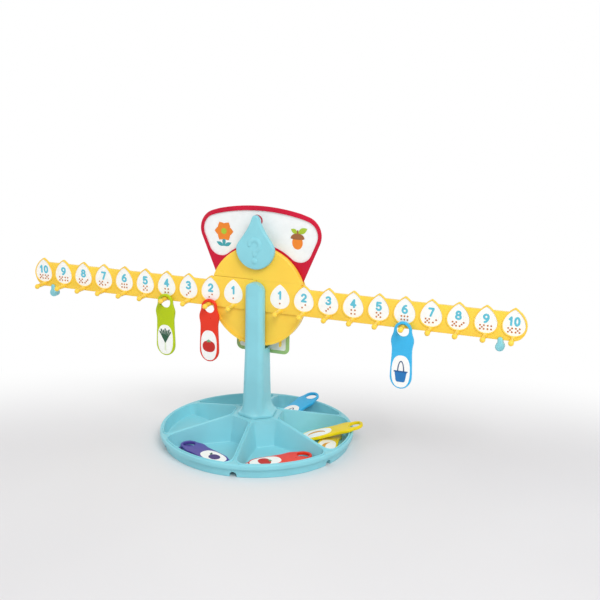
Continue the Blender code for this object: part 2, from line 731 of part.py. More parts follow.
def rider(name, side, material):
    """Pear-shaped clip that slides on the arm's lower edge, between two pegs."""
    low = arc((0, -RIDER_DROP), RIDER_RADIUS, 150, 390, 10)
    tongue = RIDER_TONGUE_HALF_WIDTH
    outline = low + rounded(
        [(tongue, -ARM_BOTTOM - RIDER_WALL), (tongue, -RIDER_TONGUE_TOP),
         (-tongue, -RIDER_TONGUE_TOP), (-tongue, -ARM_BOTTOM - RIDER_WALL)],
        [0, tongue / 2, tongue / 2, 0], 2)
    front = -HUB_HALF_THICKNESS - CLEARANCE - RIDER_WALL
    back = ARM_BACK + CLEARANCE + RIDER_WALL
    place = (side * RIDER_PLACE, 0, PIVOT_HEIGHT)
    made = piece(name, [slab_rings(outline, front, back, RIDER_WALL / 3, RIDER_WALL / 3, 2)],
                 material, place)
    width = RIDER_RADIUS + CUT_OVERRUN
    mouth = box_outline(-width, width, -ARM_BOTTOM - CLEARANCE, CUT_OVERRUN)
    cut(made, name + "_mouth", [
        slab_rings(mouth, -HUB_HALF_THICKNESS - CLEARANCE, ARM_BACK + CLEARANCE)])
    return made


def pointer(material):
    """Drop-shaped pointer and the stem that holds it to the rear leg."""
    back = -HUB_HALF_THICKNESS - POINTER_GAP
    outline = drop_outline(POINTER_BOTTOM, POINTER_TOP, POINTER_HALF_WIDTH, 1.5,
                           POINTER_TIP_RADIUS, POINTER_STEPS // 2)
    rings = slab_rings(outline, back - POINTER_THICKNESS, back, POINTER_EDGE_ROUND, 0, 2)
    made = piece("pointer", [rings], material, PIVOT)
    end = FORK_HALF_GAP + STEM_SOCKET_DEPTH
    stem = turned_rings([(STEM_RADIUS, back - WELD_DEPTH), (STEM_RADIUS, end)], CIRCLE_STEPS,
                        (0, STEM_HEIGHT))
    join(made, "pointer_stem", [stem])
    return made


def axle(material):
    """Headed pin through the rear leg and the hub into the front leg."""
    head_back = POST_BACK - CLEARANCE
    head_front = head_back - AXLE_HEAD_THICKNESS
    profile = [(AXLE_RADIUS - WELD_DEPTH, -FORK_HALF_GAP - AXLE_TIP_DEPTH),
               (AXLE_RADIUS, -FORK_HALF_GAP - AXLE_TIP_DEPTH + WELD_DEPTH),
               (AXLE_RADIUS, head_front), (AXLE_HEAD_RADIUS, head_front),
               (AXLE_HEAD_RADIUS, head_back - WELD_DEPTH), (AXLE_HEAD_RADIUS - WELD_DEPTH, head_back)]
    return piece("axle", [turned_rings(profile, CIRCLE_STEPS)], material, PIVOT)


def polar_outline(reach_of, steps):
    """A closed outline with its points at even angles; reach_of gives the distance at an angle."""
    points = []
    for step in range(steps):
        angle = 2 * math.pi * step / steps
        reach = reach_of(angle)
        points.append((reach * math.cos(angle), reach * math.sin(angle)))
    return points


def reach_in(outline, angle):
    """Distance from the axis to a convex outline in one direction."""
    ray = Vector((math.cos(angle), math.sin(angle)))
    best = 0
    for index, end in enumerate(outline):
        start = Vector(outline[index - 1])
        edge = Vector(end) - start
        bend = ray.x * edge.y - ray.y * edge.x
        if abs(bend) < 1e-12:
            continue
        share = (ray.x * -start.y + ray.y * start.x) / bend
        reach = (start.x * edge.y - start.y * edge.x) / bend
        if reach > 0 and -1e-9 <= share <= 1 + 1e-9:
            best = max(best, reach)
    return best


def post_section(height):
    """Rounded rectangle of the column at a height above the table."""
    shoulder = PIVOT_HEIGHT - SHOULDER_DROP
    base = HUB_TOP + CLEARANCE
    if height > shoulder:
        share = min((height - shoulder) / (SHOULDER_DROP + FRONT_LEG_TOP), 1)
        half = POST_SHOULDER_HALF_WIDTH + (POST_TOP_HALF_WIDTH - POST_SHOULDER_HALF_WIDTH) * share
        flare = 0
    else:
        share = (shoulder - height) / (shoulder - base)
        half = POST_SHOULDER_HALF_WIDTH + (POST_BASE_HALF_WIDTH - POST_SHOULDER_HALF_WIDTH) * share
        flare = POST_BASE_FLARE * share
    corners = [(-half, -POST_FRONT - flare), (half, -POST_FRONT - flare),
               (half, POST_BACK + flare), (-half, POST_BACK + flare)]
    return rounded(corners, [POST_CORNER_ROUND] * 4, 3)


def flange_section():
    corners = []
    for index in range(POCKETS):
        angle = math.radians(FIRST_DIVIDER_ANGLE + SECTOR * index)
        corners.append((FLANGE_RADIUS * math.cos(angle), FLANGE_RADIUS * math.sin(angle)))
    return rounded(corners, [FLANGE_CORNER_ROUND] * POCKETS, 3)


# How the post flares into its flange: height and flange as shares
FLARE_SHARES = ((0.0, 0.80), (0.07, 0.56), (0.2, 0.33), (0.45, 0.12), (1.0, 0.0))


def post_rings():
    """Level rings of the post, from its hexagonal flange up to the top of the rear leg."""
    base = HUB_TOP + CLEARANCE
    hexagon = flange_section()
    levels = [(base, 1.0), (base + 0.75 * FLANGE_THICKNESS, 1.0), (base + FLANGE_THICKNESS, 0.96)]
    for height_share, flange_share in FLARE_SHARES:
        levels.append((base + FLANGE_THICKNESS + FLARE_HEIGHT * height_share, flange_share))
    shoulder = PIVOT_HEIGHT - SHOULDER_DROP
    top = PIVOT_HEIGHT + STEM_HEIGHT + REAR_LEG_CAP + CUT_OVERRUN
    levels += [(shoulder, 0.0), (PIVOT_HEIGHT + FRONT_LEG_TOP, 0.0), (top, 0.0)]
    rings = []
    for height, flange_share in levels:
        column = post_section(height)

        def reach(angle, column=column, flange_share=flange_share):
            narrow = reach_in(column, angle)
            if flange_share == 0:
                return narrow
            return narrow + (reach_in(hexagon, angle) - narrow) * flange_share

        rings.append([Vector((x, y, height)) for x, y in polar_outline(reach, POST_STEPS)])
    return rings


def above_arch(half_width, spring, top, reach):
    """Outline of what is cut away above a round-topped leg, in the XZ plane."""
    arch = arc((0, spring), half_width, 0, 180, 12)
    return arch + [(-reach, spring), (-reach, top), (reach, top), (reach, spring)]


def post(material):
    """Column with a hexagonal flange; above the shoulder it forks round the hub."""
    made = piece("post", [post_rings()], material)
    reach = POST_BASE_HALF_WIDTH + 2 * CUT_OVERRUN
    top = PIVOT_HEIGHT + STEM_HEIGHT + REAR_LEG_CAP + 2 * CUT_OVERRUN
    hollow = arc((0, PIVOT_HEIGHT), SHOULDER_DROP, -90 - 18, -90 + 18, 8)
    fork = hollow + [(reach, top), (-reach, top)]
    cut(made, "post_fork", [slab_rings(fork, -FORK_HALF_GAP, FORK_HALF_GAP)])
    half = POST_TOP_HALF_WIDTH + CLEARANCE
    front_spring = PIVOT_HEIGHT + FRONT_LEG_TOP - half
    rear_spring = PIVOT_HEIGHT + STEM_HEIGHT + REAR_LEG_CAP - half
    far = POST_BACK + POST_BASE_FLARE + CUT_OVERRUN
    cut(made, "post_front_top", [slab_rings(
        above_arch(half, front_spring, top, reach), -far - CUT_OVERRUN, -FORK_HALF_GAP + WELD_DEPTH)])
    cut(made, "post_rear_top", [slab_rings(
        above_arch(half, rear_spring, top, reach), FORK_HALF_GAP - WELD_DEPTH, far)])
    pivot = (0, PIVOT_HEIGHT)
    hole = AXLE_RADIUS + CLEARANCE
    sink = AXLE_HEAD_RADIUS + CLEARANCE
    seat = POST_BACK - AXLE_HEAD_THICKNESS - 2 * CLEARANCE
    tip = -FORK_HALF_GAP - AXLE_TIP_DEPTH - CLEARANCE
    cut(made, "post_axle_bore", [turned_rings(
        [(hole, tip), (hole, seat), (sink, seat), (sink, far)], CIRCLE_STEPS, pivot)])
    socket = STEM_RADIUS + CLEARANCE
    cut(made, "post_stem_socket", [turned_rings(
        [(socket, 0), (socket, FORK_HALF_GAP + STEM_SOCKET_DEPTH + CLEARANCE)], CIRCLE_STEPS,
        (0, PIVOT_HEIGHT + STEM_HEIGHT))])
    cut(made, "post_pilots", post_screw_shapes(SCREW_RADIUS + CLEARANCE, 0, HUB_TOP - CUT_OVERRUN,
                                               HUB_TOP + POST_SCREW_BITE + CLEARANCE))
    return made


def post_screw_shapes(radius, head, low, high):
    """One turned shape for each screw under the post; head is the head's radius or zero."""
    shapes = []
    for index in range(POST_SCREWS):
        angle = math.radians(90 + 360 * index / POST_SCREWS)
        centre = (POST_SCREW_CIRCLE * math.cos(angle), POST_SCREW_CIRCLE * math.sin(angle))
        profile = [(radius, low), (radius, high)]
        if head:
            top = low + SCREW_HEAD_THICKNESS
            profile = [(head - SCREW_HEAD_THICKNESS / 2, low), (head, low + SCREW_HEAD_THICKNESS / 2),
                       (head, top), (radius, top), (radius, high - radius), (radius / 2, high)]
        shapes.append(turned_rings(profile, SCREW_STEPS, centre, "Z"))
    return shapes


def post_screws(material):
    """Three self-tapping screws from below, through the tray's hub into the post."""
    low = HUB_TOP - HUB_PLATE - CLEARANCE - SCREW_HEAD_THICKNESS
    shapes = post_screw_shapes(SCREW_RADIUS, SCREW_HEAD_RADIUS, low, HUB_TOP + POST_SCREW_BITE)
    for index, rings in enumerate(shapes):
        piece("post_screw_" + str(index + 1), [rings], material)


def ridge_height(reach):
    """Height of the divider tops, which fall from the hub to the rim."""
    share = (reach - HUB_CORNER_RADIUS) / (RIM_INNER - HUB_CORNER_RADIUS)
    return HUB_TOP + (TRAY_RIM_HEIGHT - HUB_TOP) * min(max(share, 0), 1)


def pocket_ring(height, shrink, middle_angle):
    """Level outline of one pocket: straight by the hub, along both dividers and round the rim."""
    outer = RIM_INNER + WALL_DRAFT_SHARE * (height - TRAY_RIM_HEIGHT) - shrink
    inner = HUB_APOTHEM + WALL_DRAFT_SHARE * (HUB_TOP - height) + shrink
    half_sector = math.radians(SECTOR / 2)
    along = Vector((math.cos(half_sector), math.sin(half_sector)))
    toward = Vector((math.sin(half_sector), -math.cos(half_sector)))

    def off_divider(reach):
        thick = DIVIDER_HALF_WIDTH + WALL_DRAFT_SHARE * (ridge_height(reach) - height)
        return max(thick, DIVIDER_HALF_WIDTH / 3) + shrink

    near = off_divider(inner / math.cos(half_sector))
    far = off_divider(outer)
    near_along = (inner - near * toward.x) / along.x
    inner_corner = along * near_along + toward * near
    outer_corner = along * math.sqrt(outer ** 2 - far ** 2) + toward * far
    edge = math.degrees(math.atan2(outer_corner.y, outer_corner.x))
    rim = arc((0, 0), outer, -edge, edge, 5)[1:-1]
    corners = [(inner_corner.x, -inner_corner.y), (outer_corner.x, -outer_corner.y)]
    corners += rim + [tuple(outer_corner), tuple(inner_corner)]
    radii = [POCKET_INNER_ROUND, POCKET_OUTER_ROUND] + [0] * len(rim)
    radii += [POCKET_OUTER_ROUND, POCKET_INNER_ROUND]
    turn = Matrix.Rotation(math.radians(middle_angle), 3, "Z")
    return [turn @ Vector((x, y, height)) for x, y in rounded(corners, radii)]


def pocket_rings(index):
    """One pocket from above the tray down to its rounded floor edge."""
    middle = FIRST_DIVIDER_ANGLE + SECTOR * (index + 0.5)
    levels = [(HUB_TOP + CUT_OVERRUN, 0), (TRAY_RIM_HEIGHT, 0), (TRAY_FLOOR + POCKET_FLOOR_ROUND, 0)]
    for degrees in (45, 90):
        angle = math.radians(degrees)
        shrink = POCKET_FLOOR_ROUND * (1 - math.cos(angle))
        levels.append((TRAY_FLOOR + POCKET_FLOOR_ROUND * (1 - math.sin(angle)), shrink))
    return [pocket_ring(height, shrink, middle) for height, shrink in levels]


def arch_rings(index):
    """Arched channel under one divider, open at the tray's outer wall."""
    side = arc((0, ARCH_HEIGHT - ARCH_HALF_WIDTH), ARCH_HALF_WIDTH, 0, 180, 6)
    outline = side + [(-ARCH_HALF_WIDTH, -CUT_OVERRUN), (ARCH_HALF_WIDTH, -CUT_OVERRUN)]
    turn = Matrix.Rotation(math.radians(FIRST_DIVIDER_ANGLE + SECTOR * index - 90), 3, "Z")
    rings = []
    for reach in (HUB_APOTHEM - 2 * HUB_WALL, TRAY_RADIUS + CUT_OVERRUN):
        rings.append([turn @ point for point in at_depth(outline, reach)])
    return rings


def tray(material):
    """Round tray: a lipped rim, six drafted pockets round a raised hub, and arches below."""
    wall = TRAY_OUTER_WALL
    foot = wall - TRAY_FOOT_INSET + TRAY_LIP_OVERHANG
    lip_low = TRAY_RIM_HEIGHT - TRAY_LIP_HEIGHT
    hub = HUB_CORNER_RADIUS - CLEARANCE
    profile = [
        (foot - TRAY_FOOT_WIDTH, TRAY_FOOT_RISE), (foot - TRAY_FOOT_WIDTH, 0), (foot, 0),
        (wall, lip_low - TRAY_RIM_ROUND), (TRAY_RADIUS - TRAY_RIM_ROUND, lip_low),
        (TRAY_RADIUS, lip_low + TRAY_RIM_ROUND), (TRAY_RADIUS, TRAY_RIM_HEIGHT - TRAY_RIM_ROUND),
        (TRAY_RADIUS - TRAY_RIM_ROUND, TRAY_RIM_HEIGHT), (RIM_INNER, TRAY_RIM_HEIGHT),
        (hub, HUB_TOP),
    ]
    made = piece("tray", [turned_rings(profile, TRAY_STEPS, (0, 0), "Z")], material)
    cut(made, "tray_pockets", [pocket_rings(index) for index in range(POCKETS)])
    low = HUB_APOTHEM - HUB_WALL
    ceiling = HUB_TOP - HUB_PLATE
    cavity = [(low, -CUT_OVERRUN), (low - WALL_DRAFT_SHARE * ceiling, ceiling)]
    cut(made, "tray_cavity", [turned_rings(cavity, CIRCLE_STEPS * 2, (0, 0), "Z")])
    cut(made, "tray_arches", [arch_rings(index) for index in range(POCKETS)])
    cut(made, "tray_screw_holes", post_screw_shapes(
        SCREW_RADIUS + CLEARANCE, 0, ceiling - CUT_OVERRUN, HUB_TOP + CUT_OVERRUN))
    return made


def token_rings():
    """A counting token hung from its ring; the origin is where a peg's axis passes."""
    ring = (0, -TOKEN_HOLE_DROP)
    foot_centre = -TOKEN_FOOT + TOKEN_FOOT_RADIUS
    right = []
    for step in range(1, TOKEN_STEPS - 1):
        share = step / (TOKEN_STEPS - 1)
        width = TOKEN_FOOT_RADIUS + (TOKEN_RING_RADIUS - TOKEN_FOOT_RADIUS) * share
        width -= TOKEN_SWELL * math.sin(2 * math.pi * share)
        right.append((width, foot_centre + (ring[1] - foot_centre) * share))
    left = [(-width, height) for width, height in reversed(right)]
    outline = arc(ring, TOKEN_RING_RADIUS, 0, 180, TOKEN_STEPS) + left
    outline += arc((0, foot_centre), TOKEN_FOOT_RADIUS, 180, 360, TOKEN_STEPS) + right
    return slab_rings(outline, -TOKEN_THICKNESS, 0)


def token(name, place, material):
    """One token; place carries it from its own frame into the scene."""
    made = piece(name, [token_rings()], material)
    made.matrix_world = place
    hole = turned_rings([(TOKEN_HOLE_RADIUS, -TOKEN_THICKNESS - CUT_OVERRUN),
                         (TOKEN_HOLE_RADIUS, CUT_OVERRUN)], 2 * SCREW_STEPS, (0, -TOKEN_HOLE_DROP))
    tool = piece(name + "_hole", [hole])
    shape_with(made, tool, "DIFFERENCE")
    tool.matrix_world = place
    return made


def hanging_place(number):
    """On a peg: negative numbers are on the left arm."""
    return Matrix.Translation((number * PEG_PITCH, -TOKEN_BACK, PIVOT_HEIGHT - PEG_DROP))


def lying_place(foot, heading, slope):
    """Face up, its foot end's underside at a point, its ring end towards the heading."""
    turn = math.radians(heading)
    rise = math.radians(slope)
    along = Vector((math.cos(turn) * math.cos(rise), math.sin(turn) * math.cos(rise), math.sin(rise)))
    up = Vector((-math.cos(turn) * math.sin(rise), -math.sin(turn) * math.sin(rise), math.cos(rise)))
    across = (-up).cross(along)
    origin = Vector(foot) + along * TOKEN_FOOT
    place = Matrix((across, -up, along)).transposed().to_4x4()
    place.translation = origin
    return place


def in_pocket(index, reach, shift, height):
    """A point in a pocket: reach along its middle line, shift across it."""
    middle = math.radians(FIRST_DIVIDER_ANGLE + SECTOR * (index + 0.5))
    return Vector((reach * math.cos(middle) - shift * math.sin(middle),
                   reach * math.sin(middle) + shift * math.cos(middle), height))


def flat_place(index, layer, turn, shift):
    """Across a pocket, flat on its floor or on the token below."""
    height = TRAY_FLOOR + CLEARANCE + layer * (TOKEN_THICKNESS + CLEARANCE)
    middle = FIRST_DIVIDER_ANGLE + SECTOR * (index + 0.5)
    heading = middle + 90 + turn
    centre = in_pocket(index, FLAT_TOKEN_REACH, shift, height)
    back = Vector((math.cos(math.radians(heading)), math.sin(math.radians(heading)), 0))
    return lying_place(centre - back * TOKEN_LENGTH / 2, heading, 0)


def leaning_place(index, hub_room, shift, turn):
    """Foot end on the pocket's floor, resting on the rim."""
    foot = in_pocket(index, HUB_APOTHEM + hub_room, shift, TRAY_FLOOR + CLEARANCE)
    heading = math.radians(FIRST_DIVIDER_ANGLE + SECTOR * (index + 0.5) + turn)
    ahead = Vector((math.cos(heading), math.sin(heading)))
    aside = Vector((-ahead.y, ahead.x))
    to_rim = TOKEN_LENGTH
    for side in (-TOKEN_FOOT_RADIUS, 0, TOKEN_FOOT_RADIUS):
        flat = foot.xy + aside * side
        outward = flat.dot(ahead)
        to_rim = min(to_rim, math.sqrt(outward ** 2 - flat.dot(flat) + RIM_INNER ** 2) - outward)
    slope = math.degrees(math.atan2(TRAY_RIM_HEIGHT + CLEARANCE - foot.z, to_rim))
    return lying_place(foot, math.degrees(heading), slope)


def build():
    clear_scene()
    yellow = look("yellow_plastic", (1.0, 0.62, 0.075), 0.38)
    turquoise = look("turquoise_plastic", (0.26, 0.62, 0.74), 0.36)
    crimson = look("crimson_plastic", (0.61, 0.012, 0.045), 0.40)
    panel_white = look("white_card", (0.90, 0.92, 0.91), 0.55)
    card_green = look("green_edged_card", (0.55, 0.75, 0.42), 0.55)
    nylon = look("white_nylon", (0.85, 0.85, 0.82), 0.30)
    steel = look("zinc_steel", (0.62, 0.62, 0.64), 0.32, 1.0)
    lime = look("lime_plastic", (0.48, 0.62, 0.008), 0.36)
    red = look("red_plastic", (0.81, 0.065, 0.032), 0.36)
    blue = look("blue_plastic", (0.07, 0.46, 0.83), 0.36)
    banana = look("bright_yellow_plastic", (0.92, 0.68, 0.01), 0.36)
    purple = look("purple_plastic", (0.13, 0.075, 0.40), 0.36)

    tray(turquoise)
    post(turquoise)
    post_screws(steel)
    axle(turquoise)
    pointer(turquoise)

    arm("left_arm", -1, yellow)
    arm("right_arm", 1, yellow)
    hub_front(yellow)
    hub_rear(yellow)
    hub_bush(nylon)
    ballast(steel)
    hub_screws(steel)
    sign_frame(crimson)
    sign_panel(panel_white)
    question_card(card_green)
    rider("left_rider", -1, turquoise)
    rider("right_rider", 1, turquoise)

    token("lime_token", hanging_place(-4), lime)
    token("red_token", hanging_place(-2), red)
    token("blue_token", hanging_place(6), blue)

    front_pocket = 0
    right_pocket = 1
    back_pocket = 2
    left_pocket = POCKETS - 1
    token("tray_red_low", flat_place(front_pocket, 0, 0, -FLAT_TOKEN_SHIFT), red)
    token("tray_red_high", flat_place(front_pocket, 1, TOP_TOKEN_TURN, FLAT_TOKEN_SHIFT), red)
    token("tray_purple_low", flat_place(left_pocket, 0, 180, 0), purple)
    token("tray_purple_high", flat_place(left_pocket, 1, 180 - TOP_TOKEN_TURN, 0), purple)
    token("tray_yellow_low", flat_place(right_pocket, 0, 0, 0), banana)
    token("tray_yellow_high",
          leaning_place(right_pocket, YELLOW_TOKEN_HUB_ROOM, YELLOW_TOKEN_SHIFT,
                        YELLOW_TOKEN_TURN), banana)
    token("tray_blue", leaning_place(back_pocket, BLUE_TOKEN_HUB_ROOM, BLUE_TOKEN_SHIFT,
                                     BLUE_TOKEN_TURN), blue)


build()
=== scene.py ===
"""Dresses the math balance: finer solids, prints, materials, floor, light and camera.

Metres, +Z up, the front faces -Y. Beam pieces are drawn round the pivot and then carried to it.
"""

import math

import bmesh
import bpy
from mathutils import Matrix, Vector
from mathutils.geometry import interpolate_bezier

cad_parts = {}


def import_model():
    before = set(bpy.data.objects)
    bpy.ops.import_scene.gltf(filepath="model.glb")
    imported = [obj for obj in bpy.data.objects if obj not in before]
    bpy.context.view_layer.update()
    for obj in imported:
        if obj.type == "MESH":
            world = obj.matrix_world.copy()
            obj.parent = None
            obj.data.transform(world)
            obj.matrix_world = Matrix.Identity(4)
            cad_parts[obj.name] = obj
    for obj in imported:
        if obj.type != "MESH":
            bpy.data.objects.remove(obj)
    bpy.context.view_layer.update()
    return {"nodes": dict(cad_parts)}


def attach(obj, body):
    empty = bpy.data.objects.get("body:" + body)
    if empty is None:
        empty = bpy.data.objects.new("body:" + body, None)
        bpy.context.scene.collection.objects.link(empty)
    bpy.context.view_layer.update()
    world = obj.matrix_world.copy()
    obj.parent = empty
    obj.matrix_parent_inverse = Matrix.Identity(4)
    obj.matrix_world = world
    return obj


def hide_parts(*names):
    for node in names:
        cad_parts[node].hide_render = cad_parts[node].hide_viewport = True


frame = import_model()

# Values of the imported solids, with the same names and meanings as in their source
CLEARANCE = 0.0003
CUT_OVERRUN = 0.002
WELD_DEPTH = 0.0005
PIVOT_HEIGHT = 0.121
TILT_LIMIT = 10.0
PEG_PITCH = 0.020
PEGS_PER_ARM = 10
FIRST_RIM_PEG = 2
ARM_TOP = 0.0095
ARM_BOTTOM = 0.0115
ARM_THICKNESS = 0.0032
TONGUE_TOP = 0.0135
PEG_DROP = 0.0094
PEG_RADIUS = 0.0016
PEG_BALL_RADIUS = 0.0021
PEG_REACH = 0.0096
LABEL_BOTTOM = 0.0074
LABEL_TOP = 0.0117
LABEL_HALF_WIDTH = 0.0079
LABEL_RIM_WIDTH = 0.0013
LABEL_RIM_HEIGHT = 0.0006
HUB_RADIUS = 0.040
HUB_HALF_THICKNESS = 0.004
HUB_EDGE_ROUND = 0.0007
HUB_LIP_WIDTH = 0.0018
HUB_LIP_DROP = 0.0007
HUB_FACE_DROP = 0.0016
CHANNEL_WEB = 0.0013
AXLE_RADIUS = 0.0025
AXLE_HEAD_RADIUS = 0.0040
AXLE_HEAD_THICKNESS = 0.0013
AXLE_TIP_DEPTH = 0.0038
BUSH_WALL = 0.0014
SCREW_RADIUS = 0.0013
SCREW_HEAD_RADIUS = 0.0026
SCREW_HEAD_THICKNESS = 0.0011
HUB_SCREW_REACH = 0.013
HUB_SCREW_RISE = 0.0065
POST_SCREW_CIRCLE = 0.0095
POST_SCREWS = 3
SIGN_TIP_REACH = 0.0373
SIGN_TIP_HEIGHT = 0.0145
SIGN_LEAN_SHARE = 0.42
SIGN_CROWN = 0.0712
SIGN_CROWN_RADIUS = 0.152
SIGN_THICKNESS = 0.0014
SIGN_LIP_THICKNESS = 0.0006
SIGN_REBATE = 0.0009
SIGN_FOOT_DEPTH = 0.0055
SIGN_TOP_BORDER = 0.0037
SIGN_SIDE_BORDER = 0.0028
SIGN_LOW_BORDER = 0.0016
SIGN_LOW_ROUND = 0.0105
POINTER_TOP = 0.0650
POINTER_BOTTOM = 0.0226
POINTER_HALF_WIDTH = 0.0160
POINTER_THICKNESS = 0.0037
POINTER_EDGE_ROUND = 0.0012
POINTER_TIP_RADIUS = 0.0030
POINTER_GAP = 0.0008
STEM_HEIGHT = 0.0300
STEM_RADIUS = 0.0024
STEM_SOCKET_DEPTH = 0.0030
CARD_WIDTH = 0.0462
CARD_TOP = 0.0270
CARD_BOTTOM = 0.0490
CARD_THICKNESS = 0.0008
CARD_CORNER_ROUND = 0.0050
RAIL_WIDTH = 0.0038
RAIL_TOP = 0.0200
RAIL_BOTTOM = 0.0230
RAIL_LIP = 0.0012
RAIL_BITE = 0.0020
PRONG_REACH = 0.0182
PRONG_WIDTH = 0.0028
PRONG_TIP = 0.0410
PRONG_ROOT = 0.0300
RIDER_SET_BACK = 0.0090
RIDER_RADIUS = 0.0033
RIDER_DROP = 0.0166
RIDER_TONGUE_HALF_WIDTH = 0.0019
RIDER_TONGUE_TOP = 0.0080
RIDER_WALL = 0.0014
FORK_GAP = 0.0006
FRONT_LEG_THICKNESS = 0.0059
FRONT_LEG_TOP = 0.0123
REAR_LEG_THICKNESS = 0.0041
REAR_LEG_CAP = 0.0076
SHOULDER_DROP = 0.0427
POST_TOP_HALF_WIDTH = 0.0077
POST_SHOULDER_HALF_WIDTH = 0.0081
POST_BASE_HALF_WIDTH = 0.0089
POST_BASE_FLARE = 0.0024
FLANGE_THICKNESS = 0.0022
FLANGE_CORNER_ROUND = 0.0035
FLARE_HEIGHT = 0.0150
POCKETS = 6
FIRST_DIVIDER_ANGLE = -80.0
POCKET_END_ROOM = 0.0032
TRAY_RIM_HEIGHT = 0.0115
TRAY_RIM_WIDTH = 0.0033
TRAY_RIM_ROUND = 0.0010
TRAY_LIP_HEIGHT = 0.0045
TRAY_LIP_OVERHANG = 0.0024
TRAY_FOOT_INSET = 0.0034
TRAY_FOOT_WIDTH = 0.0040
TRAY_FOOT_RISE = 0.0007
TRAY_FLOOR = 0.0020
HUB_TOP = 0.0232
HUB_CORNER_RADIUS = 0.0225
HUB_PLATE = 0.0025
HUB_WALL = 0.0030
DIVIDER_HALF_WIDTH = 0.0015
WALL_DRAFT_SHARE = 0.20
POCKET_OUTER_ROUND = 0.0070
POCKET_INNER_ROUND = 0.0030
POCKET_FLOOR_ROUND = 0.0013
ARCH_HALF_WIDTH = 0.0028
ARCH_HEIGHT = 0.0043
TOKEN_THICKNESS = 0.0025
TOKEN_RING_RADIUS = 0.0070
TOKEN_HOLE_RADIUS = 0.0042
TOKEN_LENGTH = 0.0530
TOKEN_FOOT_RADIUS = 0.0078
TOKEN_FACE_GAP = 0.0006
FLAT_TOKEN_RIM_ROOM = 0.0050
FLAT_TOKEN_SHIFT = 0.0013
TOP_TOKEN_TURN = 7.0
YELLOW_TOKEN_HUB_ROOM = 0.0170
YELLOW_TOKEN_SHIFT = 0.0006
YELLOW_TOKEN_TURN = 14.0
BLUE_TOKEN_HUB_ROOM = 0.0138
BLUE_TOKEN_SHIFT = 0.0086
BLUE_TOKEN_TURN = -1.3

# Sizes that follow from those above; the tray's radius is half a clearance under the solid's
ARM_FRONT = -HUB_HALF_THICKNESS
ARM_BACK = ARM_THICKNESS - HUB_HALF_THICKNESS
COVER_SPLIT = ARM_BACK + CLEARANCE + CHANNEL_WEB
REAR_COVER_FRONT = COVER_SPLIT + CLEARANCE
SIGN_FRONT = COVER_SPLIT + CLEARANCE
SIGN_BACK = SIGN_FRONT + SIGN_THICKNESS
PANEL_FRONT = SIGN_FRONT + SIGN_LIP_THICKNESS + CLEARANCE
FORK_HALF_GAP = HUB_HALF_THICKNESS + FORK_GAP
POST_FRONT = FORK_HALF_GAP + FRONT_LEG_THICKNESS
POST_BACK = FORK_HALF_GAP + REAR_LEG_THICKNESS
CARD_FRONT = POST_BACK + 3 * CLEARANCE
CARD_BACK = CARD_FRONT + CARD_THICKNESS
POINTER_BACK = ARM_FRONT - POINTER_GAP
POINTER_FRONT = POINTER_BACK - POINTER_THICKNESS
TOKEN_BACK = HUB_HALF_THICKNESS + LABEL_RIM_HEIGHT + TOKEN_FACE_GAP
TOKEN_HOLE_DROP = TOKEN_HOLE_RADIUS - PEG_RADIUS - CLEARANCE
TOKEN_FOOT = TOKEN_LENGTH - TOKEN_RING_RADIUS + TOKEN_HOLE_DROP
HUB_APOTHEM = HUB_CORNER_RADIUS * math.cos(math.pi / POCKETS)
RIM_INNER = HUB_APOTHEM + TOKEN_LENGTH + POCKET_END_ROOM
TRAY_RADIUS = RIM_INNER + TRAY_RIM_WIDTH - CLEARANCE / 2
TRAY_OUTER_WALL = TRAY_RADIUS - TRAY_LIP_OVERHANG
FLAT_TOKEN_REACH = math.sqrt((RIM_INNER - FLAT_TOKEN_RIM_ROOM - TOKEN_FOOT_RADIUS) ** 2
                             - (TOKEN_LENGTH / 2 - TOKEN_FOOT_RADIUS) ** 2)
SECTOR = 360.0 / POCKETS
RIDER_PLACE = PEGS_PER_ARM * PEG_PITCH - RIDER_SET_BACK
AT_PIVOT = Matrix.Translation((0, 0, PIVOT_HEIGHT))

# Finish of the dressed pieces
ARM_EDGE_ROUND = 0.00035
PEAK_THICKNESS = 0.0017
PEG_ROOT_RADIUS = 0.0019
PEG_LONGER = 0.0028
PEG_SAG = 0.0009
PEG_TIP_ANGLE = 0.1
SIGN_EDGE_ROUND = 0.0004
SIGN_SOFT_CORNER = 0.0155
SIGN_SEAT_ROOM = 2.0
LEG_EDGE_ROUND = 0.0007
POST_SOFT_ROUND = 0.0042
FORK_HOLLOW_SPREAD = 18
FLANGE_SOFT_RADIUS = 0.0168
SEAM_START = -0.0030
DIVIDER_ROUND = 0.0008
TRAY_EDGE_EASE = 0.0003
TRAY_LIP_EASE = 0.0004
POCKET_MIDDLE = 0.049
HUB_TOP_INSET = 0.010
RIDER_EDGE_ROUND = 0.0012
RIDER_LOWER = 0.0012
RIDER_FLANK_LEAN = 35
PRONG_SLIM_WIDTH = 0.0015
PRONG_SLIM_DEPTH = 0.0016
CROSS_REACH = 0.0014
CROSS_HALF_WIDTH = CROSS_REACH / 3.6
CROSS_DEPTH = 0.0007
PRINT_RISE = 0.00006
PRINT_STEP = 0.00001
SMOOTH_ANGLE = 35.0
BEVEL_ANGLE = 50.0
STRAIGHT_HALF_ANGLE = 89.5

# How much narrower a screw's head is, and how far below its face
SCREW_HEAD_EDGE = ((0.0, 0.0005), (0.0002, 0.0002), (0.0006, 0.0))

# Across a label's rim: share of its width, and share of its height
RIM_SECTION = ((0.0, 0.55), (0.12, 0.85), (0.3, 1.0), (0.7, 1.0), (0.88, 0.85), (1.0, 0.55))

# Up the post's flange: share of its thickness, and how far the section is the flange's own
FLANGE_LEVELS = ((0.0, 1.0), (0.5, 1.0), (0.72, 0.985), (0.9, 0.94), (1.0, 0.86))
FLARE_STEPS = 12
FLARE_SPREAD = 1.6
FLARE_START = 0.80
FLARE_FALL = 3.6
FLARE_FADE = 0.8

